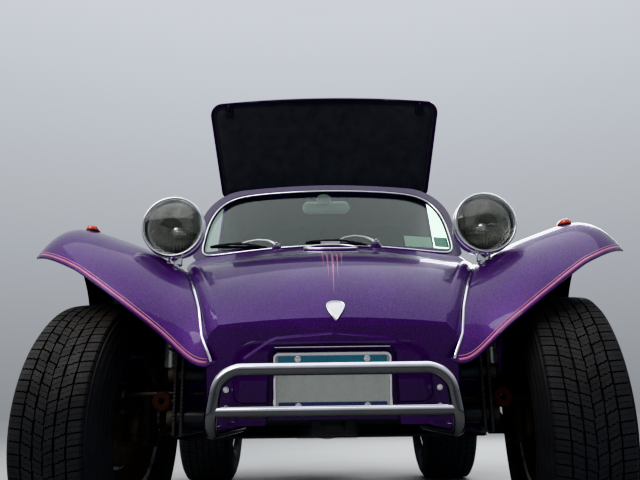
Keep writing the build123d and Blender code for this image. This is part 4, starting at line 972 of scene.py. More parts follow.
# half of the shield's outline as (across, up) from its middle: a domed top, full shoulders and a pointed foot
SHIELD_HALF = [(0.0, 0.0345), (0.01, 0.034), (0.019, 0.0315), (0.025, 0.026), (0.0274, 0.019), (0.0268, 0.011),
               (0.0236, 0.001), (0.0185, -0.0105), (0.0125, -0.0215), (0.0062, -0.0305), (0.0022, -0.0345)]
SHIELD_HALF = [(0.88 * u, 0.88 * v) for u, v in SHIELD_HALF]
shield = SHIELD_HALF + [(-u, v) for u, v in SHIELD_HALF[:0:-1]]
piece("hood_badge", badge(shield, 0.004, 0.12), "body", [BADGE_WHITE], angle=40)
piece("hood_badge_rim", sweep([on_slope(u, v, 0.0036) for u, v in shield], circle(0.0017, 8), closed=True), "body",
      CHROME)

VENT_MID = (0.01, -0.652)


def on_vent(rx, ry, lift):
    """An oval of points over the cowl."""
    return [on_hood(VENT_MID[0] + rx * c, VENT_MID[1] + ry * s, lift) for c, s in directions(64)]


hump = []
for rx, ry, lift in ((0.104, 0.042, 0.0), (0.1035, 0.0415, 0.006), (0.1, 0.0385, 0.0125), (0.097, 0.036, 0.0135),
                     (0.091, 0.031, 0.0125), (0.089, 0.029, 0.006), (0.06, 0.018, 0.0055), (0.01, 0.004, 0.0055)):
    hump += on_vent(rx, ry, lift)
hump = from_lists(hump, ring_faces(8, 64) + [tuple(range(7 * 64, 8 * 64))])
piece("cowl_vent_base", hump, "body", PURPLE, angle=50)
for name, rx, ry, lift, bar in (("lip", 0.0985, 0.0375, 0.014, circle(0.0042, 10)),
                                ("foot", 0.1045, 0.0425, 0.001, circle(0.0022, 8))):
    piece(f"cowl_vent_{name}", sweep(on_vent(rx, ry, lift), bar, closed=True), "body", CHROME)
SLAT = [(-0.0028, -0.0045), (-0.001, -0.0045), (0.0028, 0.0012), (0.001, 0.0012)]
slats = []
for k in range(-8, 9):
    x = k * 0.0102
    reach = 0.0285 * math.sqrt(max(0.0, 1 - (x / 0.089) ** 2))
    if reach > 0.006:
        run = [on_hood(VENT_MID[0] + x, VENT_MID[1] - reach + 2 * reach * j / 6, 0.0095 + 0.0015
                       * math.sin(math.pi * j / 6)) for j in range(7)]
        slats.append(sweep(run, SLAT, ups=[Vector((0, 0, 1))] * 7))
piece("cowl_vent_slats", join(*slats), "body", CHROME, smooth=False)
tag = []
for lift in (0.019, 0.029):
    for back in (0.033, 0.0345):
        tag += [on_hood(VENT_MID[0] - 0.036 + 0.072 * k / 12, VENT_MID[1] + back, lift) for k in range(13)]
tag_faces = [(0, 26, 39, 13), (12, 25, 51, 38)]
for k in range(12):
    tag_faces += [(k, k + 1, 26 + k + 1, 26 + k), (13 + k, 39 + k, 39 + k + 1, 13 + k + 1),
                  (26 + k, 26 + k + 1, 39 + k + 1, 39 + k), (k, 13 + k, 13 + k + 1, k + 1)]
piece("cowl_vent_tag", from_lists(tag, tag_faces), "body", BADGE_WHITE, smooth=False)

# ---------------------------------------------------------------- windshield: chrome bead, rubber, stickers

SCREEN_R = 1.4
SCREEN_FOOT = (-0.56, 1.01)


def screen_spot(x, z, behind=0.0):
    """A point on the windshield frame's front face, or so far behind it."""
    bow = SCREEN_R - math.sqrt(SCREEN_R ** 2 - x * x)
    return Vector((x, SCREEN_FOOT[0] + bow + (z - SCREEN_FOOT[1]) * 0.75 + behind, z))


OPENING_CORNERS = [((-0.524, 1.03), 0.024), ((0.524, 1.03), 0.024), ((0.512, 1.337), 0.165), ((0, 1.342), 0),
                   ((-0.512, 1.337), 0.165)]


def screen_opening():
    """The glass outline in front view, as (x, z) points: each corner with its radius."""
    points = []
    for i, (spot, radius) in enumerate(OPENING_CORNERS):
        if radius:
            points += round_corner(OPENING_CORNERS[i - 1][0], spot, OPENING_CORNERS[(i + 1) % 5][0], radius, 14)
        else:
            points.append(Vector(spot))
    return points


# The chrome bead's line in front view, from the middle of the top round the left side to the middle of the bottom.
BEAD_HALF = [(0.0, 1.334), (0.13, 1.333), (0.257, 1.3315), (0.345, 1.3285), (0.4, 1.32), (0.44, 1.303), (0.47, 1.278),
             (0.491, 1.246), (0.505, 1.208), (0.513, 1.165), (0.517, 1.11), (0.5185, 1.05), (0.515, 1.025),
             (0.502, 1.011), (0.48, 1.0075), (0.41, 1.0085), (0.3, 1.0155), (0.2, 1.0215), (0.1, 1.025), (0.0, 1.026)]


def polar(loop, centre, ray):
    """How far a loop lies from a centre in a direction."""
    best = 0.0
    for a, b in zip(loop, loop[1:] + loop[:1]):
        a, b = a - centre, b - centre
        edge = b - a
        det = ray.x * -edge.y + ray.y * edge.x
        if abs(det) < 1e-12:
            continue
        reach = (a.x * -edge.y + a.y * edge.x) / det
        k = (ray.x * a.y - ray.y * a.x) / det
        if -1e-6 <= k <= 1 + 1e-6 and reach > best:
            best = reach
    return best


def rounded_loop(loop, rounds):
    for _ in range(rounds):
        n = len(loop)
        loop = [(loop[i - 1] + loop[i] * 2 + loop[(i + 1) % n]) / 4 for i in range(n)]
    return loop


MIDDLE = Vector((0, 1.185))
bead_loop = [Vector(p) for p in BEAD_HALF] + [Vector((-x, z)) for x, z in BEAD_HALF[-2:0:-1]]
bead_loop = rounded_loop(resample(bead_loop + bead_loop[:1], 221)[:-1], 5)
opening = screen_opening()
seal = []
for p in bead_loop:
    bead_reach, ray = (p - MIDDLE).length, (p - MIDDLE).normalized()
    edge_reach = polar(opening, MIDDLE, ray)
    outer, inner = max(bead_reach + 0.0045, edge_reach + 0.002), min(bead_reach - 0.0075, edge_reach - 0.0065)
    for reach, behind in ((outer, 0.004), (outer, -0.0012), (bead_reach, -0.0022), (inner, 0.009), (inner, 0.0135)):
        spot = MIDDLE + ray * reach
        seal.append(screen_spot(spot.x, spot.y, behind))
seal = from_lists(seal, ring_faces(len(bead_loop), 5, closed_rows=True))
piece("screen_seal", seal, "body", SEAL, angle=50)
bead_path = [screen_spot(p.x, p.y, -0.003) for p in bead_loop]
piece("screen_bead", sweep(bead_path, circle(0.0044, 10), closed=True), "body", CHROME)

STICKER_PALE = surface("sticker_pale", (0.62, 0.74, 0.68), (0.5, 0.6), vary=0.05, scale=60.0, bump=0.02)
STICKER_GREEN = surface("sticker_green", (0.05, 0.42, 0.28), (0.5, 0.6), vary=0.08, scale=60.0, bump=0.02)


def sticker(x0, x1, z0, z1):
    """A thin sheet on the inside of the bowed glass."""
    verts, n = [], 7
    for behind in (0.0212, 0.0222):
        for z in (z0, z1):
            verts += [screen_spot(x0 + (x1 - x0) * k / (n - 1), z, behind) for k in range(n)]
    faces = []
    for k in range(n - 1):
        faces += [(k, k + 1, n + k + 1, n + k), (2 * n + k, 3 * n + k, 3 * n + k + 1, 2 * n + k + 1),
                  (k, 2 * n + k, 2 * n + k + 1, k + 1), (n + k, n + k + 1, 3 * n + k + 1, 3 * n + k)]
    faces += [(0, n, 3 * n, 2 * n), (n - 1, 3 * n - 1, 4 * n - 1, 2 * n - 1)]
    return from_lists(verts, faces)


piece("sticker_pale", sticker(0.318, 0.434, 1.032, 1.09), "body", STICKER_PALE, smooth=False)
piece("sticker_green", sticker(0.446, 0.508, 1.042, 1.094), "body", STICKER_GREEN, smooth=False)

# ---------------------------------------------------------------- number plate, strip and bolts on the front panel


def tube(points, radii, sides=10, squash=1.0, ups=None):
    """A round bar along a path whose radius changes on the way."""
    return sweep(points, circle(1.0, sides, squash), ups=[ups] * len(points) if ups else None, scales=radii)


def rounded_rect(width, height, radius, steps=6):
    points = []
    for cx, cy, start in ((1, 1, 0), (-1, 1, 90), (-1, -1, 180), (1, -1, 270)):
        for k in range(steps + 1):
            t = math.radians(start + 90 * k / steps)
            points.append((cx * (width / 2 - radius) + radius * math.cos(t), cy * (height / 2 - radius) + radius
                           * math.sin(t)))
    return points


def slab(place, rows, closed=False):
    """A closed plate: rows of (width, height, corner radius, depth), joined in turn and closed at both ends."""
    verts = [place(u, v, depth) for width, height, radius, depth in rows for u,
             v in rounded_rect(width, height, radius)]
    return prism(verts, len(verts) // len(rows), closed)


PANEL = (Vector((0, -1.252, 0.372)), Vector((0, -0.2425, 0.9701)), Vector((0, -0.9701, -0.2425)))


def on_panel(u, v, out):
    return PANEL[0] + Vector((u, 0, 0)) + PANEL[1] * v + PANEL[2] * out


def on_plate(u, v, out):
    return on_panel(u, 0.097 + v, out)


PLATE_WHITE = surface("plate_enamel", (0.36, 0.38, 0.36), (0.22, 0.34), vary=0.05, scale=26.0, grain=180.0, bump=0.06,
                      coat=0.6, dust=0.1)
PLATE_BLUE = surface("plate_blue", (0.02, 0.03, 0.11), (0.25, 0.35), vary=0.12, scale=30.0, bump=0.05, coat=0.5)
PLATE_TEAL = surface("plate_teal", (0.015, 0.16, 0.24), (0.25, 0.35), vary=0.12, scale=30.0, bump=0.05, coat=0.5)
face = slab(on_plate, [(0.312, 0.152, 0.012, -0.018), (0.312, 0.152, 0.012, -0.0142), (0.308, 0.148, 0.011, -0.0134),
                       (0.296, 0.136, 0.009, -0.0134), (0.292, 0.132, 0.008, -0.0142), (0.28, 0.12, 0.006, -0.0142)])
posts = [lathe([(-0.038, 0.0), (-0.038, 0.008), (-0.018, 0.008), (-0.018, 0.0)], on_plate(x, v, 0), PANEL[2], 16, False)
         for x in (-0.09, 0.09) for v in (-0.062, 0.062)]
plate = piece("plate_blank", join(face, *posts), "body", PLATE_WHITE, angle=40)
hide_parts("number_plate")
for name, low_v, high_v, finish in (("plate_band_low", -0.07, -0.053, PLATE_BLUE),
                                    ("plate_band_high", 0.053, 0.07, PLATE_TEAL)):
    middle = (low_v + high_v) / 2
    band = slab(lambda u, v, out: on_plate(u, middle + v, out),
                [(0.29, high_v - low_v, 0.003, -0.0148), (0.29, high_v - low_v, 0.003, -0.0132)])
    piece(name, band, "body", finish, smooth=False)
ring = slab(on_plate, [(0.322, 0.162, 0.016, -0.017), (0.322, 0.162, 0.016, -0.012), (0.318, 0.158, 0.014, -0.0098),
                       (0.311, 0.151, 0.011, -0.009), (0.305, 0.145, 0.009, -0.0104), (0.303, 0.143, 0.008, -0.0128)],
            True)
WASHER = [(-0.0135, 0.0), (-0.0135, 0.0085), (-0.0118, 0.0085), (-0.0106, 0.0065), (-0.0098, 0.0)]
HEAD = [(-0.0102, 0.0), (-0.0102, 0.004), (-0.008, 0.004), (-0.0074, 0.0)]
screws = [lathe(rows, on_plate(x, v, 0), PANEL[2], sides, False) for x in (-0.0925, 0.0925) for v in (-0.0625, 0.0625)
          for rows, sides in ((WASHER, 20), (HEAD, 6))]
piece("plate_frame", join(ring, *screws), "body", CHROME, angle=40)

strip = tube([on_panel(-0.154 + 0.308 * k / 20, 0.1925, -0.01) for k in range(21)], [0.003] * 21, 10)
feet = [tube([on_panel(x, 0.1925, -0.0385), on_panel(x, 0.1925, -0.01)], [0.0036, 0.003], 10)
        for x in (-0.15, -0.05, 0.05, 0.15)]
piece("panel_strip", join(strip, *feet), "body", CHROME, angle=40)
places = []
for u, v in ((-0.283, 0.083), (0.283, 0.083), (-0.283, 0.034), (0.283, 0.034)):
    spot = hit("nose_shell", on_panel(u, v, 0.12), -PANEL[2])
    if spot:
        places.append((spot[0], PANEL[2]))
piece("panel_bolts", hex_bolts(places, 0.0062, 0.006), "body", BRIGHT, angle=30)

# ---------------------------------------------------------------- headlamps

LAMP = (0.488, -1.08, 0.957)
LENS, tree, lens_bsdf = tree_of("fluted_lens")


def wave_across(pitch):
    """Ridges that run up and down, one every pitch."""
    return maths(tree, "SINE", times(tree, part_of(tree, point_of(tree), "X"), 2 * math.pi / pitch))


# wide flutes in a band across the middle, fine ones above and below it
height = maths(tree, "ABSOLUTE", maths(tree, "SUBTRACT", part_of(tree, point_of(tree), "Z"), LAMP[2]))
flutes = tree.nodes.new("ShaderNodeMix")
tree.links.new(remap(tree, height, 0.0, 1.0, 0.0205, 0.0225), flutes.inputs["Factor"])
tree.links.new(wave_across(0.0115), flutes.inputs[2])
tree.links.new(wave_across(0.0042), flutes.inputs[3])
raise_bump(tree, lens_bsdf, flutes.outputs[0], 0.55, 0.0006)
lens_bsdf.inputs["Base Color"].default_value = (0.86, 0.88, 0.86, 1)
tree.links.new(remap(tree, noise(tree, 60.0, 4.0), 0.0, 0.05), lens_bsdf.inputs["Roughness"])
lens_bsdf.inputs["Transmission Weight"].default_value = 1.0
lens_bsdf.inputs["IOR"].default_value = 1.45
REFLECTOR_DARK = chrome("lamp_reflector_worn", (0.52, 0.51, 0.49), (0.08, 0.2), 0.05)
BULB = surface("bulb_glass", (0.62, 0.6, 0.54), (0.05, 0.12), vary=0.1, scale=90.0, bump=0.02, coat=1.0)
lenses_made = []
for word, side in SIDES:
    centre, ahead = Vector((side * LAMP[0], LAMP[1], LAMP[2])), Vector((0, -1, 0))
    rim = [(0.002, 0.0962), (0.007, 0.0978), (0.0115, 0.0975), (0.0145, 0.0955), (0.0155, 0.093), (0.0145, 0.0912),
           (0.011, 0.0905), (0.0085, 0.0915), (0.006, 0.0935)]
    piece(f"lamp_rim_{word}", lathe(rim, centre, ahead, 96), "body", CHROME)
    glass = [(0.0255 * (1 - (r / 0.0915) ** 2) ** 0.75 + 0.01, r) for r in [0.0, 0.01, 0.02, 0.03, 0.04, 0.05, 0.06,
                                                                            0.069, 0.077, 0.084, 0.0885, 0.0912]]
    glass = glass + [(0.0085, 0.0912)] + [(a - 0.0032, r) for a, r in reversed(glass[:-2])]
    lens = lathe(glass, centre, ahead, 96, False)
    lenses_made.append(lens)
    bead = [(-0.006, 0.0955), (-0.0075, 0.098), (-0.01, 0.0988), (-0.0125, 0.098), (-0.014, 0.095), (-0.01, 0.093)]
    screw = hex_bolts([(centre + Vector((0, -0.006, -0.0975)), (0, -0.3, -1))], 0.0042, 0.005)
    piece(f"lamp_clamp_{word}", join(lathe(bead, centre, ahead, 96), screw), "body", CHROME)
    bowl = []
    for k in range(15):
        r = 0.082 * (1 - k / 14) + 0.013 * (k / 14)
        bowl.append((-0.004 - 0.092 * (1 - (r / 0.0835) ** 2), r))
    inside = [(a - 0.0016, r + 0.0008) for a, r in reversed(bowl)]
    piece(f"lamp_reflector_{word}", lathe(bowl + inside, centre, ahead, 72), "body", REFLECTOR_DARK)
    bulb = lathe([(-0.094, 0.0), (-0.094, 0.012), (-0.08, 0.012), (-0.076, 0.0085), (-0.066, 0.01), (-0.056, 0.0112),
                  (-0.047, 0.0098), (-0.041, 0.0055), (-0.039, 0.0)], centre, ahead, 28, False)
    piece(f"lamp_bulb_{word}", bulb, "body", BULB)
    cap = lathe([(-0.052, 0.0138), (-0.043, 0.015), (-0.036, 0.012), (-0.0325, 0.006), (-0.0315, 0.0), (-0.033, 0.0),
                 (-0.0345, 0.006), (-0.0375, 0.0108), (-0.043, 0.0136), (-0.052, 0.0126)], centre, ahead, 28, False)
    arms = [tube([centre + ahead * -0.046 + Vector((0.014 * math.cos(t), 0, 0.014 * math.sin(t))),
                  centre + ahead * -0.078 + Vector((0.03 * math.cos(t), 0, 0.03 * math.sin(t)))], [0.0014, 0.0014], 8)
            for t in (math.pi / 6, math.pi * 5 / 6, math.pi * 1.5)]
    piece(f"lamp_shield_{word}", join(cap, *arms), "body", CHROME, angle=60)
    foot = lathe([(-0.15, 0.0), (-0.15, 0.03), (-0.142, 0.0285), (-0.136, 0.0215), (-0.132, 0.017), (-0.118, 0.016),
                  (-0.118, 0.0)], centre + Vector((0, 0.045, 0)), (0, 0, 1), 40, False)
    nut = lathe([(-0.13, 0.0), (-0.13, 0.021), (-0.119, 0.021), (-0.117, 0.018), (-0.117, 0.0)],
                centre + Vector((0, 0.045, 0)), (0, 0, 1), 6, False)
    piece(f"lamp_foot_{word}", join(foot, nut), "body", CHROME, angle=35)

made = piece("lamp_lenses", join(*lenses_made), "body", LENS, angle=60)
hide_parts("headlamp_lenses")

# ---------------------------------------------------------------- wipers, inside mirror


def blade_path(x0, z0, x1, z1, ahead, count=24):
    return [screen_spot(x0 + (x1 - x0) * k / (count - 1), z0 + (z1 - z0) * k / (count - 1), -ahead)
            for k in range(count)]


SCREEN_OUT = Vector((0, -0.8, 0.6))
WIPER_ARM = surface("wiper_arm_silver", (0.5, 0.5, 0.5), (0.24, 0.4), metal=1.0, vary=0.12, scale=40.0, grain=500.0,
                    bump=0.1)
# pivot, blade ends, then the arm's (x, z, ahead)
WIPER_SETS = (("right", (-0.2, 1.02), (-0.481, 1.052, -0.24, 1.024), [(-0.2, 1.022, 0.022), (-0.208, 1.04, 0.028),
                                                                      (-0.23, 1.058, 0.03), (-0.275, 1.066, 0.028),
                                                                      (-0.33, 1.062, 0.025), (-0.362, 1.046, 0.019)]),
              ("left", (0.192, 1.03), (-0.085, 1.042, 0.16, 1.026), [(0.192, 1.032, 0.022), (0.184, 1.048, 0.028),
                                                                     (0.16, 1.064, 0.03), (0.108, 1.077, 0.028),
                                                                     (0.062, 1.062, 0.025), (0.04, 1.044, 0.019)]),)
blades, metal, flanges = [], [], []
for word, pivot, (x0, z0, x1, z1), arm in WIPER_SETS:
    rubber = blade_path(x0, z0, x1, z1, 0.006)
    blades.append(sweep(rubber, [(-0.0022, -0.005), (0.0022, -0.005), (0.003, 0.001), (0.0036, 0.004), (-0.0036, 0.004),
                                 (-0.003, 0.001)], ups=[SCREEN_OUT] * 24))
    bow = [p + SCREEN_OUT * (0.003 + 0.009 * math.sin(math.pi * k / 23) ** 0.8) + Vector((0, 0.0045, 0.006))
           * math.sin(math.pi * k / 23) for k, p in enumerate(rubber)]
    blades.append(tube(bow, [0.0022 + 0.0016 * math.sin(math.pi * k / 23) for k in range(24)], 10, 1.15,
                       ups=SCREEN_OUT))
    for k in (1, 7, 16, 22):
        blades.append(tube([rubber[k] + SCREEN_OUT * 0.001, bow[k] + SCREEN_OUT * 0.001], [0.005, 0.0038], 8))
    for a, b in ((3, 8), (15, 20)):
        run = [rubber[i] + SCREEN_OUT * (0.0045 + 0.0055 * math.sin(math.pi * (i - a) / (b - a)))
               for i in range(a, b + 1)]
        blades.append(tube(run, [0.003] * len(run), 8))
    middle = (rubber[11] + rubber[12]) / 2 + SCREEN_OUT * 0.012 + Vector((0, 0.004, 0.006))
    along = (rubber[12] - rubber[11]).normalized()
    blades.append(tube([middle - along * 0.016, middle - along * 0.01, middle + along * 0.01, middle + along * 0.016],
                       [0.005, 0.0078, 0.0078, 0.005], 10, 0.8, ups=SCREEN_OUT))
    line = resample(smooth_path([screen_spot(x, z, -ahead) for x, z, ahead in arm], 1), 26)
    radii = [0.007 - 0.0036 * min(1.0, k / 12) for k in range(26)]
    metal.append(tube(line, radii, 10, 0.55, ups=SCREEN_OUT))
    head = screen_spot(pivot[0], pivot[1] - 0.004, -0.022)
    out = Vector((0, -20, 26)).normalized()
    metal.append(lathe([(0.006, 0.0), (0.006, 0.0125), (0.014, 0.0125), (0.018, 0.0105), (0.02, 0.0)], head, out, 24,
                       False))
    metal.append(lathe([(0.018, 0.0), (0.018, 0.0062), (0.024, 0.0062), (0.0252, 0.0048), (0.0252, 0.0)], head, out, 6,
                       False))
    flanges.append(lathe([(-0.034, 0.0), (-0.034, 0.026), (-0.012, 0.025), (-0.002, 0.0205), (0.004, 0.016),
                          (0.008, 0.014), (0.008, 0.0)], head, out, 32, False))
arms = piece("wiper_arms", join(*metal), "body", WIPER_ARM, angle=45)
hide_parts("wipers")
piece("wiper_blades", join(*blades), "body", SEAL, angle=45)
piece("wiper_flanges", join(*flanges), "body", PURPLE, angle=45)

MIRROR_PALE = surface("mirror_shell_pale", (0.66, 0.76, 0.71), (0.3, 0.42), vary=0.06, scale=30.0, grain=700.0,
                      bump=0.1)
MIRROR_FACE = chrome("mirror_face", (0.9, 0.91, 0.92), (0.01, 0.03), 0.0)


def on_mirror(u, v, out):
    return Vector((u, -0.216 - out, 1.29 + v))


shell = slab(on_mirror, [(0.206, 0.048, 0.022, -0.01), (0.214, 0.056, 0.026, -0.009), (0.216, 0.058, 0.027, -0.004),
                         (0.212, 0.056, 0.026, 0.002), (0.196, 0.046, 0.021, 0.008), (0.15, 0.03, 0.014, 0.012),
                         (0.08, 0.014, 0.006, 0.0135)])
base = lathe([(-0.006, 0.0), (-0.006, 0.033), (0.0, 0.034), (0.005, 0.031), (0.008, 0.022), (0.009, 0.0)],
             (-0.01, -0.25, 1.319), (0, -0.8, 0.6), 40, False)
stalk = tube([(-0.008, -0.25, 1.318), (-0.004, -0.24, 1.308), (0, -0.229, 1.3), (0, -0.222, 1.296)],
             [0.0075, 0.006, 0.0065, 0.011], 14)
mirror = piece("mirror_body", join(shell, base, stalk), "body", MIRROR_PALE, angle=50)
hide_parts("mirror_inside")
piece("mirror_face", slab(on_mirror, [(0.206, 0.048, 0.022, -0.0095), (0.204, 0.046, 0.021, -0.0112)]), "body",
      MIRROR_FACE, angle=30)

# ---------------------------------------------------------------- lining under the hardtop

LINER = surface("roof_liner", (0.03, 0.03, 0.032), (0.75, 0.9), vary=0.18, scale=16.0, grain=420.0, bump=0.5, sheen=0.4)
verts, index, rows, columns = [], {}, 34, 120
origin = Vector((0, 0.42, 1.12))
for r in range(rows + 1):
    lift = math.radians(-14 + 104 * r / rows)
    for c in range(columns):
        turn_c = 2 * math.pi * c / columns
        way = Vector((math.cos(lift) * math.cos(turn_c), math.cos(lift) * math.sin(turn_c), math.sin(lift)))
        found = hit("hardtop_rear", origin, way)
        if found and found[0].y > 0.232 and (found[0] - origin).length < 0.75:
            normal = found[1] if found[1].dot(way) < 0 else -found[1]
            index[(r, c)] = len(verts)
            verts.append(found[0] + normal * 0.0035)
faces = []
for r in range(rows):
    for c in range(columns):
        keys = [(r, c), (r, (c + 1) % columns), (r + 1, (c + 1) % columns), (r + 1, c)]
        if all(k in index for k in keys):
            spots = [index[k] for k in keys]
            reach = max((verts[a] - verts[b]).length for a in spots for b in spots)
            if reach < 0.11:
                faces.append(spots)
piece("hardtop_liner", from_lists(verts, faces), "body", LINER, angle=60)

# ---------------------------------------------------------------- seats: vinyl pads swollen by cloth pressure, with rolls and piping

VINYL = surface("seat_vinyl", (0.03, 0.03, 0.033), (0.34, 0.5), vary=0.16, scale=22.0, grain=900.0, bump=0.32,
                depth=0.0004, coat=0.1, dust=0.1, dust_colour=(0.1, 0.095, 0.09), wear=(0.06, 0.058, 0.056))
VINYL_PALE = surface("seat_vinyl_pale", (0.4, 0.39, 0.37), (0.36, 0.52), vary=0.1, scale=24.0, grain=900.0, bump=0.32,
                     depth=0.0004, coat=0.08, dust=0.16, dust_colour=(0.26, 0.24, 0.21))
FRAME_BLACK = surface("seat_frame_black", (0.016, 0.016, 0.017), (0.3, 0.45), vary=0.2, scale=40.0, grain=260.0,
                      bump=0.2, coat=0.3, wear=(0.22, 0.22, 0.23), dust=0.12)


def loose_object(name, mesh):
    made = bpy.data.objects.new(name, mesh)
    bpy.context.collection.objects.link(made)
    return made


def settled(item):
    """The mesh an object has once its modifiers are worked out."""
    bpy.context.view_layer.update()
    done = bpy.data.meshes.new_from_object(item.evaluated_get(bpy.context.evaluated_depsgraph_get()))
    old = item.data
    bpy.data.objects.remove(item, do_unlink=True)
    bpy.data.meshes.remove(old)
    return done


def mesh_of(form, name):
    mesh = bpy.data.meshes.new(name)
    form.to_mesh(mesh)
    form.free()
    return mesh


def stuffed(form, voxel, cap, shape):
    """A closed form remeshed, shaped, then swollen by cloth under pressure; no point moves further than the cap."""
    item = loose_object("stuffing", mesh_of(form, "stuffing"))
    remesh = item.modifiers.new("remesh", "REMESH")
    remesh.mode = "VOXEL"
    remesh.voxel_size = voxel
    mesh = settled(item)
    for vert in mesh.vertices:
        vert.co = shape(vert.co.copy())
    rest = [v.co.copy() for v in mesh.vertices]
    item = loose_object("stuffing", mesh)
    cloth = item.modifiers.new("cloth", "CLOTH")
    for setting, value in (("quality", 5), ("mass", 0.3), ("tension_stiffness", 18), ("compression_stiffness", 18),
                           ("shear_stiffness", 8), ("bending_stiffness", 0.6), ("use_pressure", True),
                           ("uniform_pressure_force", 4.0)):
        setattr(cloth.settings, setting, value)
    cloth.settings.effector_weights.gravity = 0.0
    cloth.point_cache.frame_start, cloth.point_cache.frame_end = 1, 20
    scene = bpy.context.scene
    for frame in range(1, 21):
        scene.frame_set(frame)
    bpy.context.view_layer.update()
    evaluated = item.evaluated_get(bpy.context.evaluated_depsgraph_get())
    moved = [v.co.copy() for v in evaluated.data.vertices]
    item.modifiers.remove(cloth)
    scene.frame_set(1)
    for vert, old, new in zip(item.data.vertices, rest, moved):
        step = new - old
        if step.length > cap:
            step *= cap / step.length
        vert.co = old + step
    soft = item.modifiers.new("smooth", "SMOOTH")
    soft.factor, soft.iterations = 0.5, 4
    finer = item.modifiers.new("finer", "SUBSURF")
    finer.levels = finer.render_levels = 1
    return settled(item)


def ease(value, low, high):
    t = min(1.0, max(0.0, (value - low) / (high - low)))
    return t * t * (3 - 2 * t)


def groove(offset, half=0.0045):
    return math.exp(-(offset / half) ** 2)


CHANNELS = [-0.12, -0.072, -0.024, 0.024, 0.072, 0.12]


def rolls(across, strength):
    """How far the surface is sewn in or stands out, for rolls side by side between the seams."""
    depth = sum(-0.0065 * groove(across - line) for line in CHANNELS)
    if abs(across) < 0.12:
        share = ((across + 0.12) % 0.048) / 0.048
        depth += 0.003 * (1 - (2 * share - 1) ** 2)
    return depth * strength


def ribbed(mesh, amount):
    """Moves each point along its normal by what the seams do there."""
    normals = [v.normal.copy() for v in mesh.vertices]
    for vert, normal in zip(mesh.vertices, normals):
        vert.co = vert.co + normal * amount(vert.co, normal)
    return mesh


def cushion_form():
    rows = [(0.384, 0.376, 0.03, 0.356), (0.404, 0.396, 0.036, 0.359), (0.412, 0.404, 0.04, 0.368),
            (0.412, 0.404, 0.04, 0.408), (0.404, 0.394, 0.04, 0.418), (0.38, 0.37, 0.034, 0.4215)]
    return slab(lambda u, v, z: Vector((u, 0.013 + v, z)), rows)


def cushion_shape(p):
    top = ease(p.z, 0.385, 0.418)
    ridge = ease(abs(p.x), 0.122, 0.172) * 0.026
    thigh = ease(-p.y, 0.02, 0.17) * 0.01 * (1 - ease(abs(p.x), 0.12, 0.17))
    hollow = -0.01 * math.exp(-((p.y - 0.06) / 0.1) ** 2 - (p.x / 0.1) ** 2)
    return Vector((p.x, p.y, p.z + top * (ridge + thigh + hollow)))


def cushion_seams(p, normal):
    insert = 1 - ease(abs(p.x), 0.121, 0.127)
    upper = ease(p.z, 0.385, 0.4) if normal.z > 0.2 or normal.y < -0.5 else 0.0
    amount = rolls(p.x, upper) * insert
    amount += -0.006 * groove(abs(p.x) - 0.128) * ease(normal.z, 0.0, 0.4)
    amount += -0.004 * groove(p.z - 0.384, 0.004) * (1 - ease(abs(normal.z), 0.5, 0.8))
    return amount


BACK_PLACE = Matrix.Translation((0, 0.178, 0.436)) @ Matrix.Rotation(math.radians(-13), 4, "X")
BACK_HALF = [(0.0, 0.016), (0.12, 0.016), (0.176, 0.022), (0.196, 0.06), (0.203, 0.15), (0.203, 0.37), (0.192, 0.412),
             (0.16, 0.436), (0.128, 0.452), (0.112, 0.474), (0.108, 0.54), (0.096, 0.574), (0.06, 0.586), (0.0, 0.589)]
back_outline = resample(smooth_path([Vector((u, v, 0)) for u, v in BACK_HALF], 2), 60)
back_outline = back_outline + [Vector((-p.x, p.y, 0)) for p in reversed(back_outline[1:-1])]


def back_form():
    n = len(back_outline)
    middle = Vector((0, 0.27, 0))
    verts = []
    for inset, d in ((0.02, 0.01), (0.008, 0.0125), (0.001, 0.021), (0.0, 0.056), (0.004, 0.069), (0.018, 0.0745)):
        for i, p in enumerate(back_outline):
            along_edge = (back_outline[(i + 1) % n] - back_outline[i - 1]).normalized()
            inward = Vector((-along_edge.y, along_edge.x, 0))
            if (middle - p).dot(inward) < 0:
                inward = -inward
            q = p + inward * inset
            verts.append(Vector((q.x, d, q.y)))
    return from_lists(verts, ring_faces(6, n) + [tuple(range(n)), tuple(range(5 * n, 6 * n))])


def back_shape(p):
    """The side bolsters stand forward of the middle, and the head rest leans forward a little."""
    front = 1 - ease(p.y, 0.02, 0.05)
    side = ease(abs(p.x), 0.128, 0.172) * (1 - 0.35 * ease(abs(p.x), 0.18, 0.204))
    reach = ease(p.z, 0.055, 0.135) * (1 - ease(p.z, 0.33, 0.425))
    lumbar = 0.012 * math.exp(-((p.z - 0.14) / 0.08) ** 2) * (1 - ease(abs(p.x), 0.11, 0.15))
    head = 0.01 * ease(p.z, 0.455, 0.5)
    return Vector((p.x, p.y - front * (0.036 * side * reach + lumbar + head), p.z))


def back_seams(p, normal):
    facing = ease(-normal.y, 0.1, 0.5)
    insert = (1 - ease(abs(p.x), 0.121, 0.127)) * ease(p.z, 0.045, 0.055) * (1 - ease(p.z, 0.425, 0.435))
    amount = rolls(p.x, insert) * facing
    if p.z < 0.44:
        amount += -0.006 * groove(abs(p.x) - 0.128) * facing * (1 - ease(p.z, 0.405, 0.425))
    amount += -0.007 * groove(p.z - 0.445, 0.005) * ease(abs(normal.y), 0.1, 0.4)
    amount += -0.0035 * groove(p.y - 0.042, 0.004) * (1 - ease(abs(normal.y), 0.5, 0.8))
    return amount


cushion_mesh = ribbed(stuffed(cushion_form(), 0.006, 0.01, cushion_shape), cushion_seams)
back_mesh = ribbed(stuffed(back_form(), 0.006, 0.008, back_shape), back_seams)


def tree_from(mesh):
    return BVHTree.FromPolygons([v.co.copy() for v in mesh.vertices], [tuple(p.vertices) for p in mesh.polygons])


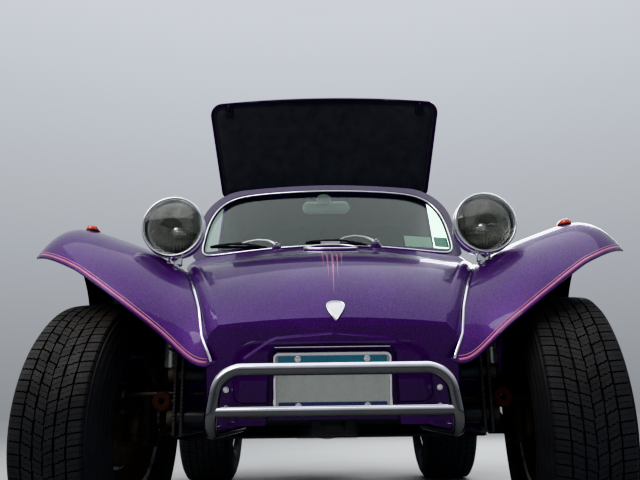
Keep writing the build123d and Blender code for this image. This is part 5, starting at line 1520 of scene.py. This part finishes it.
def laid(tree, rays, lift):
    """The points where rays of (start, direction) meet a soft surface, lifted off it along its normal."""
    found = [tree.ray_cast(Vector(start), Vector(way)) for start, way in rays]
    return [spot + normal * lift for spot, normal, _, _ in found if spot is not None]


cushion_tree, back_tree = tree_from(cushion_mesh), tree_from(back_mesh)
CORD = circle(0.0036, 8)
CORD_LIFT, BELT_LIFT = 0.00126, 0.0014
runs = [[((side * 0.128, -0.18 + 0.345 * k / 50, 0.6), (0, 0, -1)) for k in range(51)] for side in (-1, 1)]
cords = [sweep(smooth_path(laid(cushion_tree, run, CORD_LIFT), 1), CORD) for run in runs]
belt = []
for c, s in directions(96):
    start = Vector((0.5 * c, 0.013 + 0.5 * s, 0.384))
    belt.append((start, (Vector((0.05 * c, 0.013 + 0.05 * s, 0.384)) - start).normalized()))
cords.append(sweep(laid(cushion_tree, belt, BELT_LIFT), CORD, closed=True))
cushion_cord = mesh_of(join(*cords), "cushion_cord")
runs = [[((side * 0.128, -0.3, 0.05 + 0.365 * k / 50), (0, 1, 0)) for k in range(51)] for side in (-1, 1)]
cords = [sweep(smooth_path(laid(back_tree, run, CORD_LIFT), 1), CORD) for run in runs]
run = [((-0.104 + 0.208 * k / 30, -0.3, 0.445), (0, 1, 0)) for k in range(31)]
cords.append(sweep(laid(back_tree, run, CORD_LIFT), CORD))
belt, n = [], len(back_outline)
for i, p in enumerate(back_outline):
    along_edge = (back_outline[(i + 1) % n] - back_outline[i - 1]).normalized()
    outward = Vector((along_edge.y, 0, -along_edge.x))
    if outward.dot(Vector((p.x, 0, p.y - 0.27))) < 0:
        outward = -outward
    belt.append((Vector((p.x, 0.042, p.y)) + outward * 0.06, -outward))
cords.append(sweep(laid(back_tree, belt, BELT_LIFT), CORD, closed=True))
back_cord = mesh_of(join(*cords), "back_cord")

SEAT_X = 0.3
# sections of the seat rails as (across, up), then the arm's (y, z) and the handle's (off the seat's middle, y, z)
LOWER_RAIL = [(-0.014, 0.0), (0.014, 0.0), (0.014, 0.012), (0.011, 0.012), (0.011, 0.003), (-0.011, 0.003),
              (-0.011, 0.012), (-0.014, 0.012)]
UPPER_RAIL = [(-0.0085, 0.004), (0.0085, 0.004), (0.0085, 0.025), (0.0135, 0.025), (0.0135, 0.04), (-0.0135, 0.04),
              (-0.0135, 0.025), (-0.0085, 0.025)]
SEAT_ARM = [(0.15, 0.372), (0.19, 0.392), (0.212, 0.43), (0.226, 0.48), (0.24, 0.545)]
SEAT_HANDLE = [(0.07, -0.172, 0.336), (0.07, -0.188, 0.338), (0.058, -0.1935, 0.343), (0.01, -0.1935, 0.345)]
for word, side in SIDES:
    middle_x = side * SEAT_X
    place = Matrix.Translation((middle_x, 0, 0))
    for name, mesh, spot, finish, soft in (
        ("cushion", cushion_mesh, place, VINYL, True), ("backrest", back_mesh, place @ BACK_PLACE, VINYL, True),
        ("cushion_piping", cushion_cord, place, VINYL_PALE, False),
        ("backrest_piping", back_cord, place @ BACK_PLACE, VINYL_PALE, False),
    ):
        copy = mesh.copy()
        copy.transform(spot)
        made = piece(f"seat_{name}_{word}", copy, "body", finish)
        if name == "cushion":
            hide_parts(f"seat_{word}")
    metal = []
    for dx in (-0.11, 0.07):
        x = middle_x + side * dx
        for rail, front, back in ((LOWER_RAIL, -0.178, 0.199), (UPPER_RAIL, -0.17, 0.192)):
            metal.append(sweep([(x, front, 0.3145), (x, back, 0.3145)], rail, ups=[(0, 0, 1)] * 2))
        metal.append(hex_bolts([(Vector((x, y, 0.3175)), (0, 0, 1)) for y in (-0.15, 0.17)], 0.0055, 0.0045))
    metal.append(slab(lambda u, v, z: Vector((middle_x + u, 0.01 + v, z)),
                      [(0.37, 0.36, 0.03, 0.3545), (0.378, 0.368, 0.032, 0.356), (0.378, 0.368, 0.032, 0.3585),
                       (0.372, 0.362, 0.03, 0.36)]))
    for dx in (-0.196, 0.196):
        x = middle_x + dx
        arm = resample(smooth_path([Vector((x, y, z)) for y, z in SEAT_ARM], 2), 20)
        metal.append(sweep(arm, [(-0.0035, -0.014), (0.0035, -0.014), (0.0035, 0.014), (-0.0035, 0.014)],
                           ups=[(0, -0.6, 0.6)] * 20))
        metal.append(lathe([(-0.008, 0.0), (-0.008, 0.02), (0.006, 0.02), (0.0085, 0.016), (0.0085, 0.0)],
                           (x, 0.206, 0.42), (1 if dx > 0 else -1, 0, 0), 32, False))
    handle = resample(smooth_path([Vector((middle_x + side * dx, y, z)) for dx, y, z in SEAT_HANDLE], 2), 20)
    metal.append(tube(handle, [0.0042] * 14 + [0.0052] * 6, 10))
    piece(f"seat_frame_{word}", join(*metal), "body", FRAME_BLACK, angle=35)

# ---------------------------------------------------------------- dash: instruments, switches

DIAL_FACE = surface("dial_face", (0.01, 0.01, 0.011), (0.45, 0.6), vary=0.15, scale=60.0, grain=700.0, bump=0.08)
DIAL_MARK = surface("dial_mark", (0.72, 0.72, 0.68), (0.5, 0.6), vary=0.06, scale=90.0, bump=0.03)
NEEDLE_RED = surface("needle_red", (0.55, 0.05, 0.02), (0.4, 0.5), vary=0.08, scale=90.0, bump=0.03)
DIAL_GLASS = clear_glass("dial_glass", (0.95, 0.96, 0.96))
DASH_OUT = Vector((0, math.cos(math.radians(-12)), math.sin(math.radians(-12))))
DASH_UP = Vector((1, 0, 0)).cross(DASH_OUT)
DIALS = ((0.3, 0.052), (0.185, 0.03), (0.415, 0.03), (0.06, 0.026), (0.0, 0.026))


def dial_way(degrees):
    """A direction on the face of a dial and the one across it."""
    angle = math.radians(degrees)
    way = Vector((1, 0, 0)) * -math.cos(angle) + DASH_UP * math.sin(angle)
    return way, DASH_OUT.cross(way)


def thin_plate(quad, thickness):
    back = [q - DASH_OUT * thickness for q in quad]
    return from_lists(quad + back, [(0, 1, 2, 3), (7, 6, 5, 4), (0, 4, 5, 1), (1, 5, 6, 2), (2, 6, 7, 3), (3, 7, 4, 0)])


rims, faces, marks, needles, panes = [], [], [], [], []
for index, (x, r) in enumerate(DIALS):
    spot = hit("dashboard", (x, -0.25, 0.945), (0, -1, 0))
    centre = spot[0] if spot else Vector((x, -0.373, 0.945))
    rims.append(lathe([(-0.002, r + 0.0015), (0.003, r + 0.001), (0.0055, r - 0.0015), (0.006, r - 0.004),
                       (0.0045, r - 0.006), (0.001, r - 0.0075), (0.0005, r - 0.006)], centre, DASH_OUT, 56))
    faces.append(lathe([(0.0, 0.0), (0.0004, r * 0.5), (0.0004, r - 0.0062), (0.0, r - 0.0058)], centre, DASH_OUT, 48,
                       False))
    panes.append(lathe([(0.0034, 0.0), (0.0034, r * 0.5), (0.0031, r - 0.0058), (0.0026, r - 0.0056), (0.0028, r * 0.5),
                        (0.0029, 0.0)], centre, DASH_OUT, 48, False))
    swing, count, every, reading = (250, 31, 5, 0.46) if index == 0 else (100, 9, 4, 0.2)
    rim = r - 0.0075
    for k in range(count):
        way, aside = dial_way(90 + swing / 2 - swing * k / (count - 1))
        length, half = (0.2, 0.0007) if k % every == 0 else (0.11, 0.00045)
        marks.append(thin_plate([centre + DASH_OUT * 0.0008 + way * d + aside * w for d, w in (
            (rim, -half), (rim, half), (rim - r * length, half), (rim - r * length, -half))], 0.0003))
    way, aside = dial_way(90 + swing * reading)
    needles.append(thin_plate([centre + DASH_OUT * 0.0018 + way * d + aside * w for d, w in (
        (r * 0.68, -0.0003), (r * 0.68, 0.0003), (-r * 0.16, 0.0013), (-r * 0.16, -0.0013))], 0.0005))
    needles.append(lathe([(0.0006, 0.0), (0.0006, r * 0.09), (0.0024, r * 0.08), (0.0026, 0.0)], centre, DASH_OUT, 20,
                         False))
for x in (-0.06, -0.105, -0.15):
    spot = hit("dashboard", (x, -0.25, 0.925), (0, -1, 0))
    if spot:
        rims.append(lathe([(-0.001, 0.0), (-0.001, 0.011), (0.003, 0.011), (0.0045, 0.008), (0.006, 0.005),
                           (0.015, 0.0042), (0.02, 0.0062), (0.023, 0.005), (0.024, 0.0)], spot[0], DASH_OUT, 28,
                          False))
piece("dial_rims", join(*rims), "body", CHROME, angle=50)
piece("dial_faces", join(*faces), "body", DIAL_FACE)
piece("dial_marks", join(*marks), "body", DIAL_MARK, smooth=False)
piece("dial_needles", join(*needles), "body", NEEDLE_RED, smooth=False)
piece("dial_glasses", join(*panes), "body", DIAL_GLASS, angle=40)

# ---------------------------------------------------------------- steering wheel: wrapped grip, stitches, horn button and ring

COLUMN_TOP = Vector((SEAT_X, -0.165, 0.88))
RIM_RADIUS = 0.17
GRIP = surface("grip_wrap", (0.014, 0.014, 0.015), (0.42, 0.58), vary=0.2, scale=60.0, grain=900.0, bump=0.4,
               depth=0.0004, wear=(0.045, 0.043, 0.042))
KNOB = surface("black_knob", (0.012, 0.012, 0.013), (0.12, 0.22), vary=0.12, scale=40.0, grain=500.0, bump=0.05,
               coat=0.7)
WHEEL_BACK = surface("wheel_back", (0.022, 0.02, 0.019), (0.55, 0.8), vary=0.3, scale=24.0, grain=420.0, bump=0.4,
                     dust=0.25)
RED_LENS = surface("red_lens", (0.45, 0.012, 0.01), (0.06, 0.14), vary=0.08, scale=40.0, grain=300.0, bump=0.06,
                   coat=1.0)
MARKER_LENS = surface("marker_lens", (0.62, 0.06, 0.012), (0.08, 0.16), vary=0.1, scale=60.0, grain=300.0, bump=0.1,
                      coat=1.0)

# the wrapped rim, its stitches, the horn button and its ring
axis = Vector((0.145, 0.9312, 0.3345)).normalized()
right_w = (Vector((1, 0, 0)) - axis * axis.x).normalized()
up_w = axis.cross(right_w)
ring = []
for k, (c, s) in enumerate(directions(144)):
    out = right_w * c + up_w * s
    for across, along in directions(14):
        r = 0.0126 + 0.0012 * max(0.0, -across) * math.cos(math.pi * k / 2)
        ring.append(COLUMN_TOP + out * (RIM_RADIUS + r * across) + axis * r * along)
piece("steering_grip", from_lists(ring, ring_faces(144, 14, closed_rows=True)), "steering_wheel", GRIP)
stitches = []
for k, (c, s) in enumerate(directions(110)):
    if min(abs(2 * math.pi * k / 110 - math.pi * q) for q in (0, 0.5, 1, 1.5, 2)) < 0.06:
        continue
    out, onward = right_w * c + up_w * s, up_w * c - right_w * s
    base = COLUMN_TOP + out * (RIM_RADIUS - 0.0128)
    stitches.append(tube([base - onward * 0.0024 + axis * 0.003, base - out * 0.0008,
                          base + onward * 0.0024 - axis * 0.003], [0.0006, 0.0008, 0.0006], 5))
piece("steering_stitches", join(*stitches), "steering_wheel", VINYL_PALE)
button = lathe([(-0.002, 0.0), (-0.002, 0.0335), (0.003, 0.034), (0.007, 0.031), (0.0095, 0.023), (0.011, 0.012),
                (0.0114, 0.0)], COLUMN_TOP, axis, 48, False)
piece("horn_button", button, "steering_wheel", KNOB, angle=50)
ring = lathe([(-0.004, 0.0378), (0.001, 0.0385), (0.003, 0.0375), (0.0032, 0.0352), (0.001, 0.0342), (-0.002, 0.0345)],
             COLUMN_TOP, axis, 56)
piece("horn_ring", ring, "steering_wheel", CHROME, angle=50)

# ---------------------------------------------------------------- gear lever, hand brake, pedals

lever_axis = Vector((0, 0.05, 0.228)).normalized()
rows = [(-0.006, 0.0), (-0.006, 0.052), (0.002, 0.054), (0.006, 0.05)]
for k in range(7):
    r = 0.046 - 0.0048 * k
    rows += [(0.008 + 0.0135 * k, r), (0.0135 + 0.0135 * k, r - 0.0015), (0.0165 + 0.0135 * k, r - 0.0085)]
rows += [(0.104, 0.0095), (0.108, 0.0085), (0.108, 0.0)]
piece("gear_boot", lathe(rows, (0, -0.18, 0.44), lever_axis, 40, False), "body", SEAL, angle=60)
knob_rows = [(-0.0225, 0.0), (-0.0225, 0.0085), (-0.018, 0.01)]
knob_rows += [(0.0228 * math.sin(math.radians(a)), 0.0228 * math.cos(math.radians(a)))
              for a in range(-48, 78, 9)] + [(0.0222, 0.0)]
piece("gear_knob", lathe(knob_rows, (0, -0.13, 0.69), lever_axis, 40, False), "body", KNOB)
brake_axis = Vector((0, 0.17, 0.108)).normalized()
start = Vector((0, 0.23, 0.57)) - brake_axis * 0.118
grip_rows = [(0.0, 0.0), (0.0, 0.0125), (0.003, 0.015)]
for k in range(9):
    grip_rows += [(0.008 + 0.0105 * k, 0.015), (0.0115 + 0.0105 * k, 0.0158), (0.015 + 0.0105 * k, 0.015)]
grip_rows += [(0.108, 0.0145), (0.113, 0.011), (0.114, 0.0)]
piece("brake_grip", lathe(grip_rows, start, brake_axis, 28, False), "body", DARK_PLASTIC, angle=60)
button = lathe([(0.113, 0.0), (0.113, 0.0055), (0.123, 0.0055), (0.1255, 0.004), (0.126, 0.0)], start, brake_axis, 20,
               False)
base = lathe([(-0.07, 0.0), (-0.07, 0.02), (-0.062, 0.022), (-0.05, 0.018), (-0.048, 0.0)], start, brake_axis, 24,
             False)
piece("brake_button", join(button, base), "body", CHROME, angle=40)
pads = []
for x, reach in ((0.21, 0.0), (0.3, 0.0), (0.39, 0.016)):
    tilt = Matrix.Translation((x, -0.552 + reach, 0.452)) @ Matrix.Rotation(math.radians(-20), 4, "X")
    pads.append(slab(lambda u, v, d: tilt @ Vector((u, d, v)),
                     [(0.058, 0.068, 0.008, -0.0062), (0.06, 0.07, 0.009, 0.0), (0.06, 0.07, 0.009, 0.0052),
                      (0.056, 0.066, 0.007, 0.0072)]))
    for k in range(6):
        v = -0.0275 + 0.011 * k
        pads.append(slab(lambda u, w, d: tilt @ Vector((u, d, v + w)),
                         [(0.048, 0.005, 0.002, 0.0065), (0.046, 0.0034, 0.0014, 0.0094)]))
piece("pedal_pads", join(*pads), "body", SEAL, angle=40)
mats = []
for side in (-1, 1):
    def on_floor(u, v, z):
        return Vector((side * 0.292 + u, -0.36 + v, z))
    found = hit("floor_pan", (side * 0.292, -0.36, 0.6), (0, 0, -1))
    z = (found[0].z if found else 0.312) + 0.0003
    mats.append(slab(on_floor, [(0.33, 0.27, 0.02, z), (0.334, 0.274, 0.022, z + 0.002),
                                (0.334, 0.274, 0.022, z + 0.005), (0.322, 0.262, 0.018, z + 0.007)]))
    for k in range(15):
        v0 = -0.112 + 0.016 * k
        mats.append(slab(lambda u, v, d: on_floor(u, v0 + v, d), [(0.3, 0.0085, 0.003, z + 0.0065),
                                                                  (0.297, 0.006, 0.002, z + 0.009)]))
piece("floor_mats", join(*mats), "body", SEAL, angle=40)

# ---------------------------------------------------------------- wheels: nuts, caps, valves, dark backs

X_AXIS = (1, 0, 0)
NUT_CIRCLE, VALVE_CIRCLE = 0.05125, 0.16
SLEEVE = [(0.004, 0.0), (0.004, 0.0128), (0.0075, 0.0128), (0.0085, 0.011), (0.0085, 0.0)]
NUT = [(0.008, 0.0), (0.008, 0.0105), (0.0205, 0.0105), (0.0215, 0.0092), (0.0255, 0.007), (0.0275, 0.003),
       (0.0278, 0.0)]
DOME = [(0.0, 0.0), (0.0, 0.0345), (0.004, 0.0355), (0.0075, 0.034), (0.01, 0.0318), (0.0215, 0.0305), (0.031, 0.024),
        (0.0362, 0.012), (0.0372, 0.0)]
STEM = [(-0.01, 0.0), (-0.01, 0.0085), (-0.002, 0.008), (0.004, 0.0052), (0.02, 0.0046), (0.0205, 0.0052),
        (0.03, 0.0052), (0.0312, 0.004), (0.0312, 0.0)]
for end, half, face_x in (("front", 0.089, 0.022), ("rear", 0.1145, 0.034)):
    # both rows are counted along the axle, then out from it; the flange edge stands at half the rim's width
    lip = [(half + a, BEAD + b) for a, b in ((-0.001, 0.0152), (0.0012, 0.0135), (0.001, 0.01), (-0.002, 0.005),
                                             (-0.0065, -0.006), (-0.0055, 0.001), (-0.003, 0.009))]
    back = [(-half + 0.004, BEAD - 0.0062), (-half + 0.007, BEAD - 0.008), (-half + 0.046, 0.1652),
            (face_x - 0.01, 0.1652), (face_x - 0.01, 0.164), (-half + 0.0465, 0.164), (-half + 0.0085, BEAD - 0.0095),
            (-half + 0.004, BEAD - 0.0082)]
    for word, side in SIDES:
        body, slot = f"wheel_{end}_{word}", f"wheel_{end}_{word}_alloy"
        place = wheel_place(end, side)
        bright = []
        for c, s in directions(5):
            spot = Vector((face_x, -NUT_CIRCLE * s, NUT_CIRCLE * c))
            bright += [lathe(SLEEVE, spot, X_AXIS, 24, False), lathe(NUT, spot, X_AXIS, 6, False)]
        bright += [lathe(DOME, (face_x, 0, 0), X_AXIS, 56, False), lathe(lip, (0, 0, 0), X_AXIS, 120)]
        piece(f"wheel_bright_{end}_{word}", placed(join(*bright), place), body, CHROME, angle=35)
        turned = math.radians(36 + 72)
        spot = Vector((half - 0.05, -VALVE_CIRCLE * math.sin(turned), VALVE_CIRCLE * math.cos(turned)))
        inward = Vector((0.86, 0.5 * math.sin(turned), -0.5 * math.cos(turned)))
        piece(f"wheel_valve_{end}_{word}", placed(lathe(STEM, spot, inward, 18, False), place), body, SEAL,
              angle=40)
        piece(f"wheel_back_{end}_{word}", placed(lathe(back, (0, 0, 0), X_AXIS, 96), place), body, WHEEL_BACK,
              angle=40)

# ---------------------------------------------------------------- tail lamps, marker lamps

for word, side in SIDES:
    centre = Vector((side * 0.7, 1.364, 0.74))
    rows = [(0.052, 0.0405), (0.0535, 0.044)]
    for k in range(1, 15):
        t = math.radians(90 * k / 14)
        ripple = 0.0004 * (1 if k % 2 else -1)
        rows.append((0.0535 + (0.017 + ripple) * math.sin(t), 0.044 * math.cos(t) if k < 14 else 0.0))
    rows = [(0.052, 0.0)] + rows
    piece(f"tail_lens_{word}", lathe(rows, centre, (0, 1, 0), 64, False), "body", RED_LENS, angle=60)
    rim = [(0.044, 0.0462), (0.049, 0.0492), (0.054, 0.049), (0.0575, 0.0468), (0.058, 0.044), (0.0555, 0.0425),
           (0.05, 0.044)]
    screws = hex_bolts([(centre + Vector((s * 0.047, 0.056, 0)), (0, 1, 0)) for s in (-1, 1)], 0.0028, 0.003)
    piece(f"tail_rim_{word}", join(lathe(rim, centre, (0, 1, 0), 72), screws), "body", CHROME, angle=50)

lenses, bases = [], []
for side in (-1, 1):
    def on_marker(u, v, z):
        return Vector((side * 0.774 + u, -0.985 + v, 0.9805 + z))
    lenses.append(slab(on_marker, [(0.034, 0.058, 0.0168, -0.0085), (0.0365, 0.0605, 0.018, -0.006),
                                   (0.0365, 0.0605, 0.018, -0.002), (0.0345, 0.058, 0.017, 0.003),
                                   (0.029, 0.051, 0.0142, 0.0072), (0.02, 0.04, 0.0098, 0.01),
                                   (0.009, 0.026, 0.0044, 0.0112)]))
    bases.append(slab(on_marker, [(0.0375, 0.0615, 0.0186, -0.0125), (0.038, 0.062, 0.0189, -0.01),
                                  (0.038, 0.062, 0.0189, -0.006), (0.036, 0.06, 0.0178, -0.005)]))
made = piece("marker_lenses", join(*lenses), "body", MARKER_LENS, angle=60)
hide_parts("marker_lamps")
piece("marker_bases", join(*bases), "body", SEAL, angle=50)

# ---------------------------------------------------------------- engine: belt, pulleys, straps, air filter, caps

ENGINE = Vector((0, 1.132, 0.39))
loop = []
low, high, r_low, r_high = ENGINE + Vector((0, 0.327, 0)), ENGINE + Vector((0, 0.327, 0.205)), 0.085, 0.049
slope = math.asin((r_low - r_high) / 0.205)
for k in range(33):
    t = -slope + (math.pi + 2 * slope) * k / 32
    loop.append(low + Vector((r_low * math.cos(math.pi + t), 0, r_low * math.sin(math.pi + t))))
for k in range(25):
    t = slope + (math.pi - 2 * slope) * k / 24
    loop.append(high + Vector((r_high * math.cos(t), 0, r_high * math.sin(t))))
belt = []
n = len(loop)
for i, p in enumerate(loop):
    out = Vector((p.x, 0, p.z - (0.39 if i < 33 else 0.595))).normalized()
    for a, b in ((-0.0045, -0.003), (0.0045, -0.003), (0.0062, 0.003), (0.005, 0.0042), (-0.005, 0.0042),
                 (-0.0062, 0.003)):
        belt.append(p + Vector((0, a, 0)) + out * b)
piece("fan_belt", from_lists(belt, ring_faces(n, 6, closed_rows=True)), "body", SEAL, angle=40)
shine = [lathe([(0.01, 0.06), (0.01, 0.0835), (0.0118, 0.0845), (0.0135, 0.0825), (0.012, 0.074), (0.0105, 0.062)], low,
               (0, 1, 0), 64), lathe([(0.0098, 0.0), (0.0098, 0.018), (0.0125, 0.018), (0.013, 0.015), (0.013, 0.0)],
                                     low, (0, 1, 0), 32, False),
         lathe([(0.0125, 0.0), (0.0125, 0.0135), (0.023, 0.0135), (0.0245, 0.0115), (0.0245, 0.0)], low, (0, 1, 0), 6,
               False), lathe([(0.0098, 0.03), (0.0098, 0.0472), (0.0118, 0.048), (0.0135, 0.0462), (0.0125, 0.04),
                              (0.0105, 0.031)], high, (0, 1, 0), 56),
         lathe([(0.0098, 0.0), (0.0098, 0.015), (0.013, 0.015), (0.0135, 0.013), (0.0135, 0.0)], high, (0, 1, 0), 28,
               False), lathe([(0.013, 0.0), (0.013, 0.0105), (0.022, 0.0105), (0.0235, 0.009), (0.0235, 0.0)], high,
                             (0, 1, 0), 6, False),]
for y in (-0.048, -0.02):
    shine.append(lathe([(y - 0.008, 0.052), (y - 0.008, 0.0534), (y, 0.054), (y + 0.008, 0.0534), (y + 0.008, 0.052)],
                       high, (0, 1, 0), 56))
shine.append(hex_bolts([(high + Vector((0.0555, -0.034, -0.006)), (1, 0, 0.2)), (high + Vector((0.0555, -0.034, 0.01)),
                                                                                 (1, 0, 0.2))], 0.006, 0.007))
filler = Vector((0.07, 1.422, 0.605))
cap = lathe([(-0.02, 0.0), (-0.02, 0.0275), (-0.016, 0.0305), (0.004, 0.0305), (0.008, 0.0285), (0.01, 0.02),
             (0.0105, 0.0)], filler, (0, 0, 1), 18, False)
shine.append(cap)
cleaner = Vector((0, 1.192, 0.692))
shine.append(lathe([(0.0245, 0.0), (0.0245, 0.0925), (0.029, 0.0938), (0.032, 0.0925), (0.0335, 0.086), (0.0345, 0.05),
                    (0.035, 0.0)], cleaner, (0, 0, 1), 72, False))
shine.append(lathe([(-0.0335, 0.0), (-0.0335, 0.088), (-0.0315, 0.0925), (-0.028, 0.0938), (-0.024, 0.0925),
                    (-0.024, 0.0)], cleaner, (0, 0, 1), 72, False))
shine.append(tube([cleaner + Vector((-0.02, 0, 0.052)), cleaner + Vector((-0.008, 0, 0.042)),
                   cleaner + Vector((0.008, 0, 0.042)), cleaner + Vector((0.02, 0, 0.052))],
                  [0.003, 0.0052, 0.0052, 0.003], 10))
shine.append(lathe([(0.034, 0.0), (0.034, 0.006), (0.046, 0.005), (0.0475, 0.0)], cleaner, (0, 0, 1), 16, False))
piece("engine_bright", join(*shine), "body", CHROME, angle=35)
pleats = []
for z in (-0.0245, 0.025):
    for k, (c, s) in enumerate(directions(220)):
        r = 0.093 if k % 2 else 0.0885
        pleats.append(cleaner + Vector((r * c, r * s, z)))
PAPER = surface("filter_paper", (0.42, 0.3, 0.16), (0.7, 0.85), vary=0.15, scale=40.0, grain=500.0, bump=0.2, dust=0.3)
piece("air_filter", from_lists(pleats, ring_faces(2, 220)), "body", PAPER, smooth=False)
wires = []
for side in (-1, 1):
    for y in (0.08, 0.24):
        run = [(0.262, y, 0.466), (0.3, y, 0.44), (0.3115, y, 0.415), (0.3115, y, 0.35), (0.3, y, 0.33),
               (0.262, y, 0.312)]
        wires.append(tube(resample(smooth_path([Vector((side * a, 1.132 + b, c)) for a, b, c in run], 1), 24),
                          [0.0026] * 24, 8))
nuts = []
for x in (-0.15, 0.15):
    for z in (-0.03, 0.06):
        spot = hit("engine_case", (x * 0.9, 1.05, 0.39 + z), (0, 1, 0))
        if spot:
            nuts.append((spot[0], (0, -1, 0)))
for z in (-0.07, -0.02, 0.03, 0.08):
    for side in (-1, 1):
        spot = hit("engine_case", (side * 0.085, 1.6, 0.39 + z), (0, -1, 0))
        if spot and spot[0].y > 1.4:
            nuts.append((spot[0], (0, 1, 0)))
wires.append(hex_bolts(nuts, 0.0075, 0.0065))
piece("engine_fasteners", join(*wires), "body", STEEL, angle=40)

# ---------------------------------------------------------------- rear window rubber

GLASS_UP, GLASS_OUT = Vector((0, -0.63, 0.777)).normalized(), Vector((0, 0.777, 0.63)).normalized()
# the rubber's section: distance out from the glass edge, height over the hardtop's skin
RUBBER_ROWS = ((-0.01, -0.002), (-0.0095, 0.0012), (-0.006, 0.004), (0.0, 0.0052), (0.006, 0.0044), (0.0098, 0.0018),
               (0.0102, -0.0006))


def on_rear_glass(flat_spot, height):
    return Vector((flat_spot.x, 0, 0)) + GLASS_UP * flat_spot.y + GLASS_OUT * height


glass_points = [v.co.copy() for v in NODES["rear_window"].data.vertices]
flat = [Vector((p.x, p.dot(GLASS_UP))) for p in glass_points]
hull = [flat[i] for i in convex_hull_2d(flat)]
centre = sum(hull, Vector((0, 0))) / len(hull)
level = max(p.dot(GLASS_OUT) for p in glass_points)
ring = []
for c, s in directions(160):
    way = Vector((c, s))
    reach = polar(hull, centre, way)
    spot = hit("hardtop_rear", on_rear_glass(centre + way * (reach + 0.012), level + 0.1), -GLASS_OUT)
    height = spot[0].dot(GLASS_OUT) if spot else level
    ring += [on_rear_glass(centre + way * (reach + aside), height + lift) for aside, lift in RUBBER_ROWS]
ring = from_lists(ring, ring_faces(160, 7, closed_rows=True, closed_ring=True))
piece("rear_window_rubber", ring, "body", SEAL, angle=60)

# ---------------------------------------------------------------- front axle: studs down the tower edges

studs = []
for side in (-1, 1):
    for x in (0.4165, 0.4365):
        for k in range(15):
            spot = hit("front_beam", (side * x, -1.5, 0.378 + 0.01 * k), (0, 1, 0))
            if spot and abs(spot[0].y + 1.191) < 0.02:
                studs.append(lathe([(-0.001, 0.0), (-0.001, 0.0036), (0.001, 0.0036), (0.0022, 0.0022), (0.0024, 0.0)],
                                   spot[0], (0, -1, 0), 12, False))
piece("tower_studs", join(*studs), "body", ROD_STEEL, angle=50)

# ---------------------------------------------------------------- size and end

low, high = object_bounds()
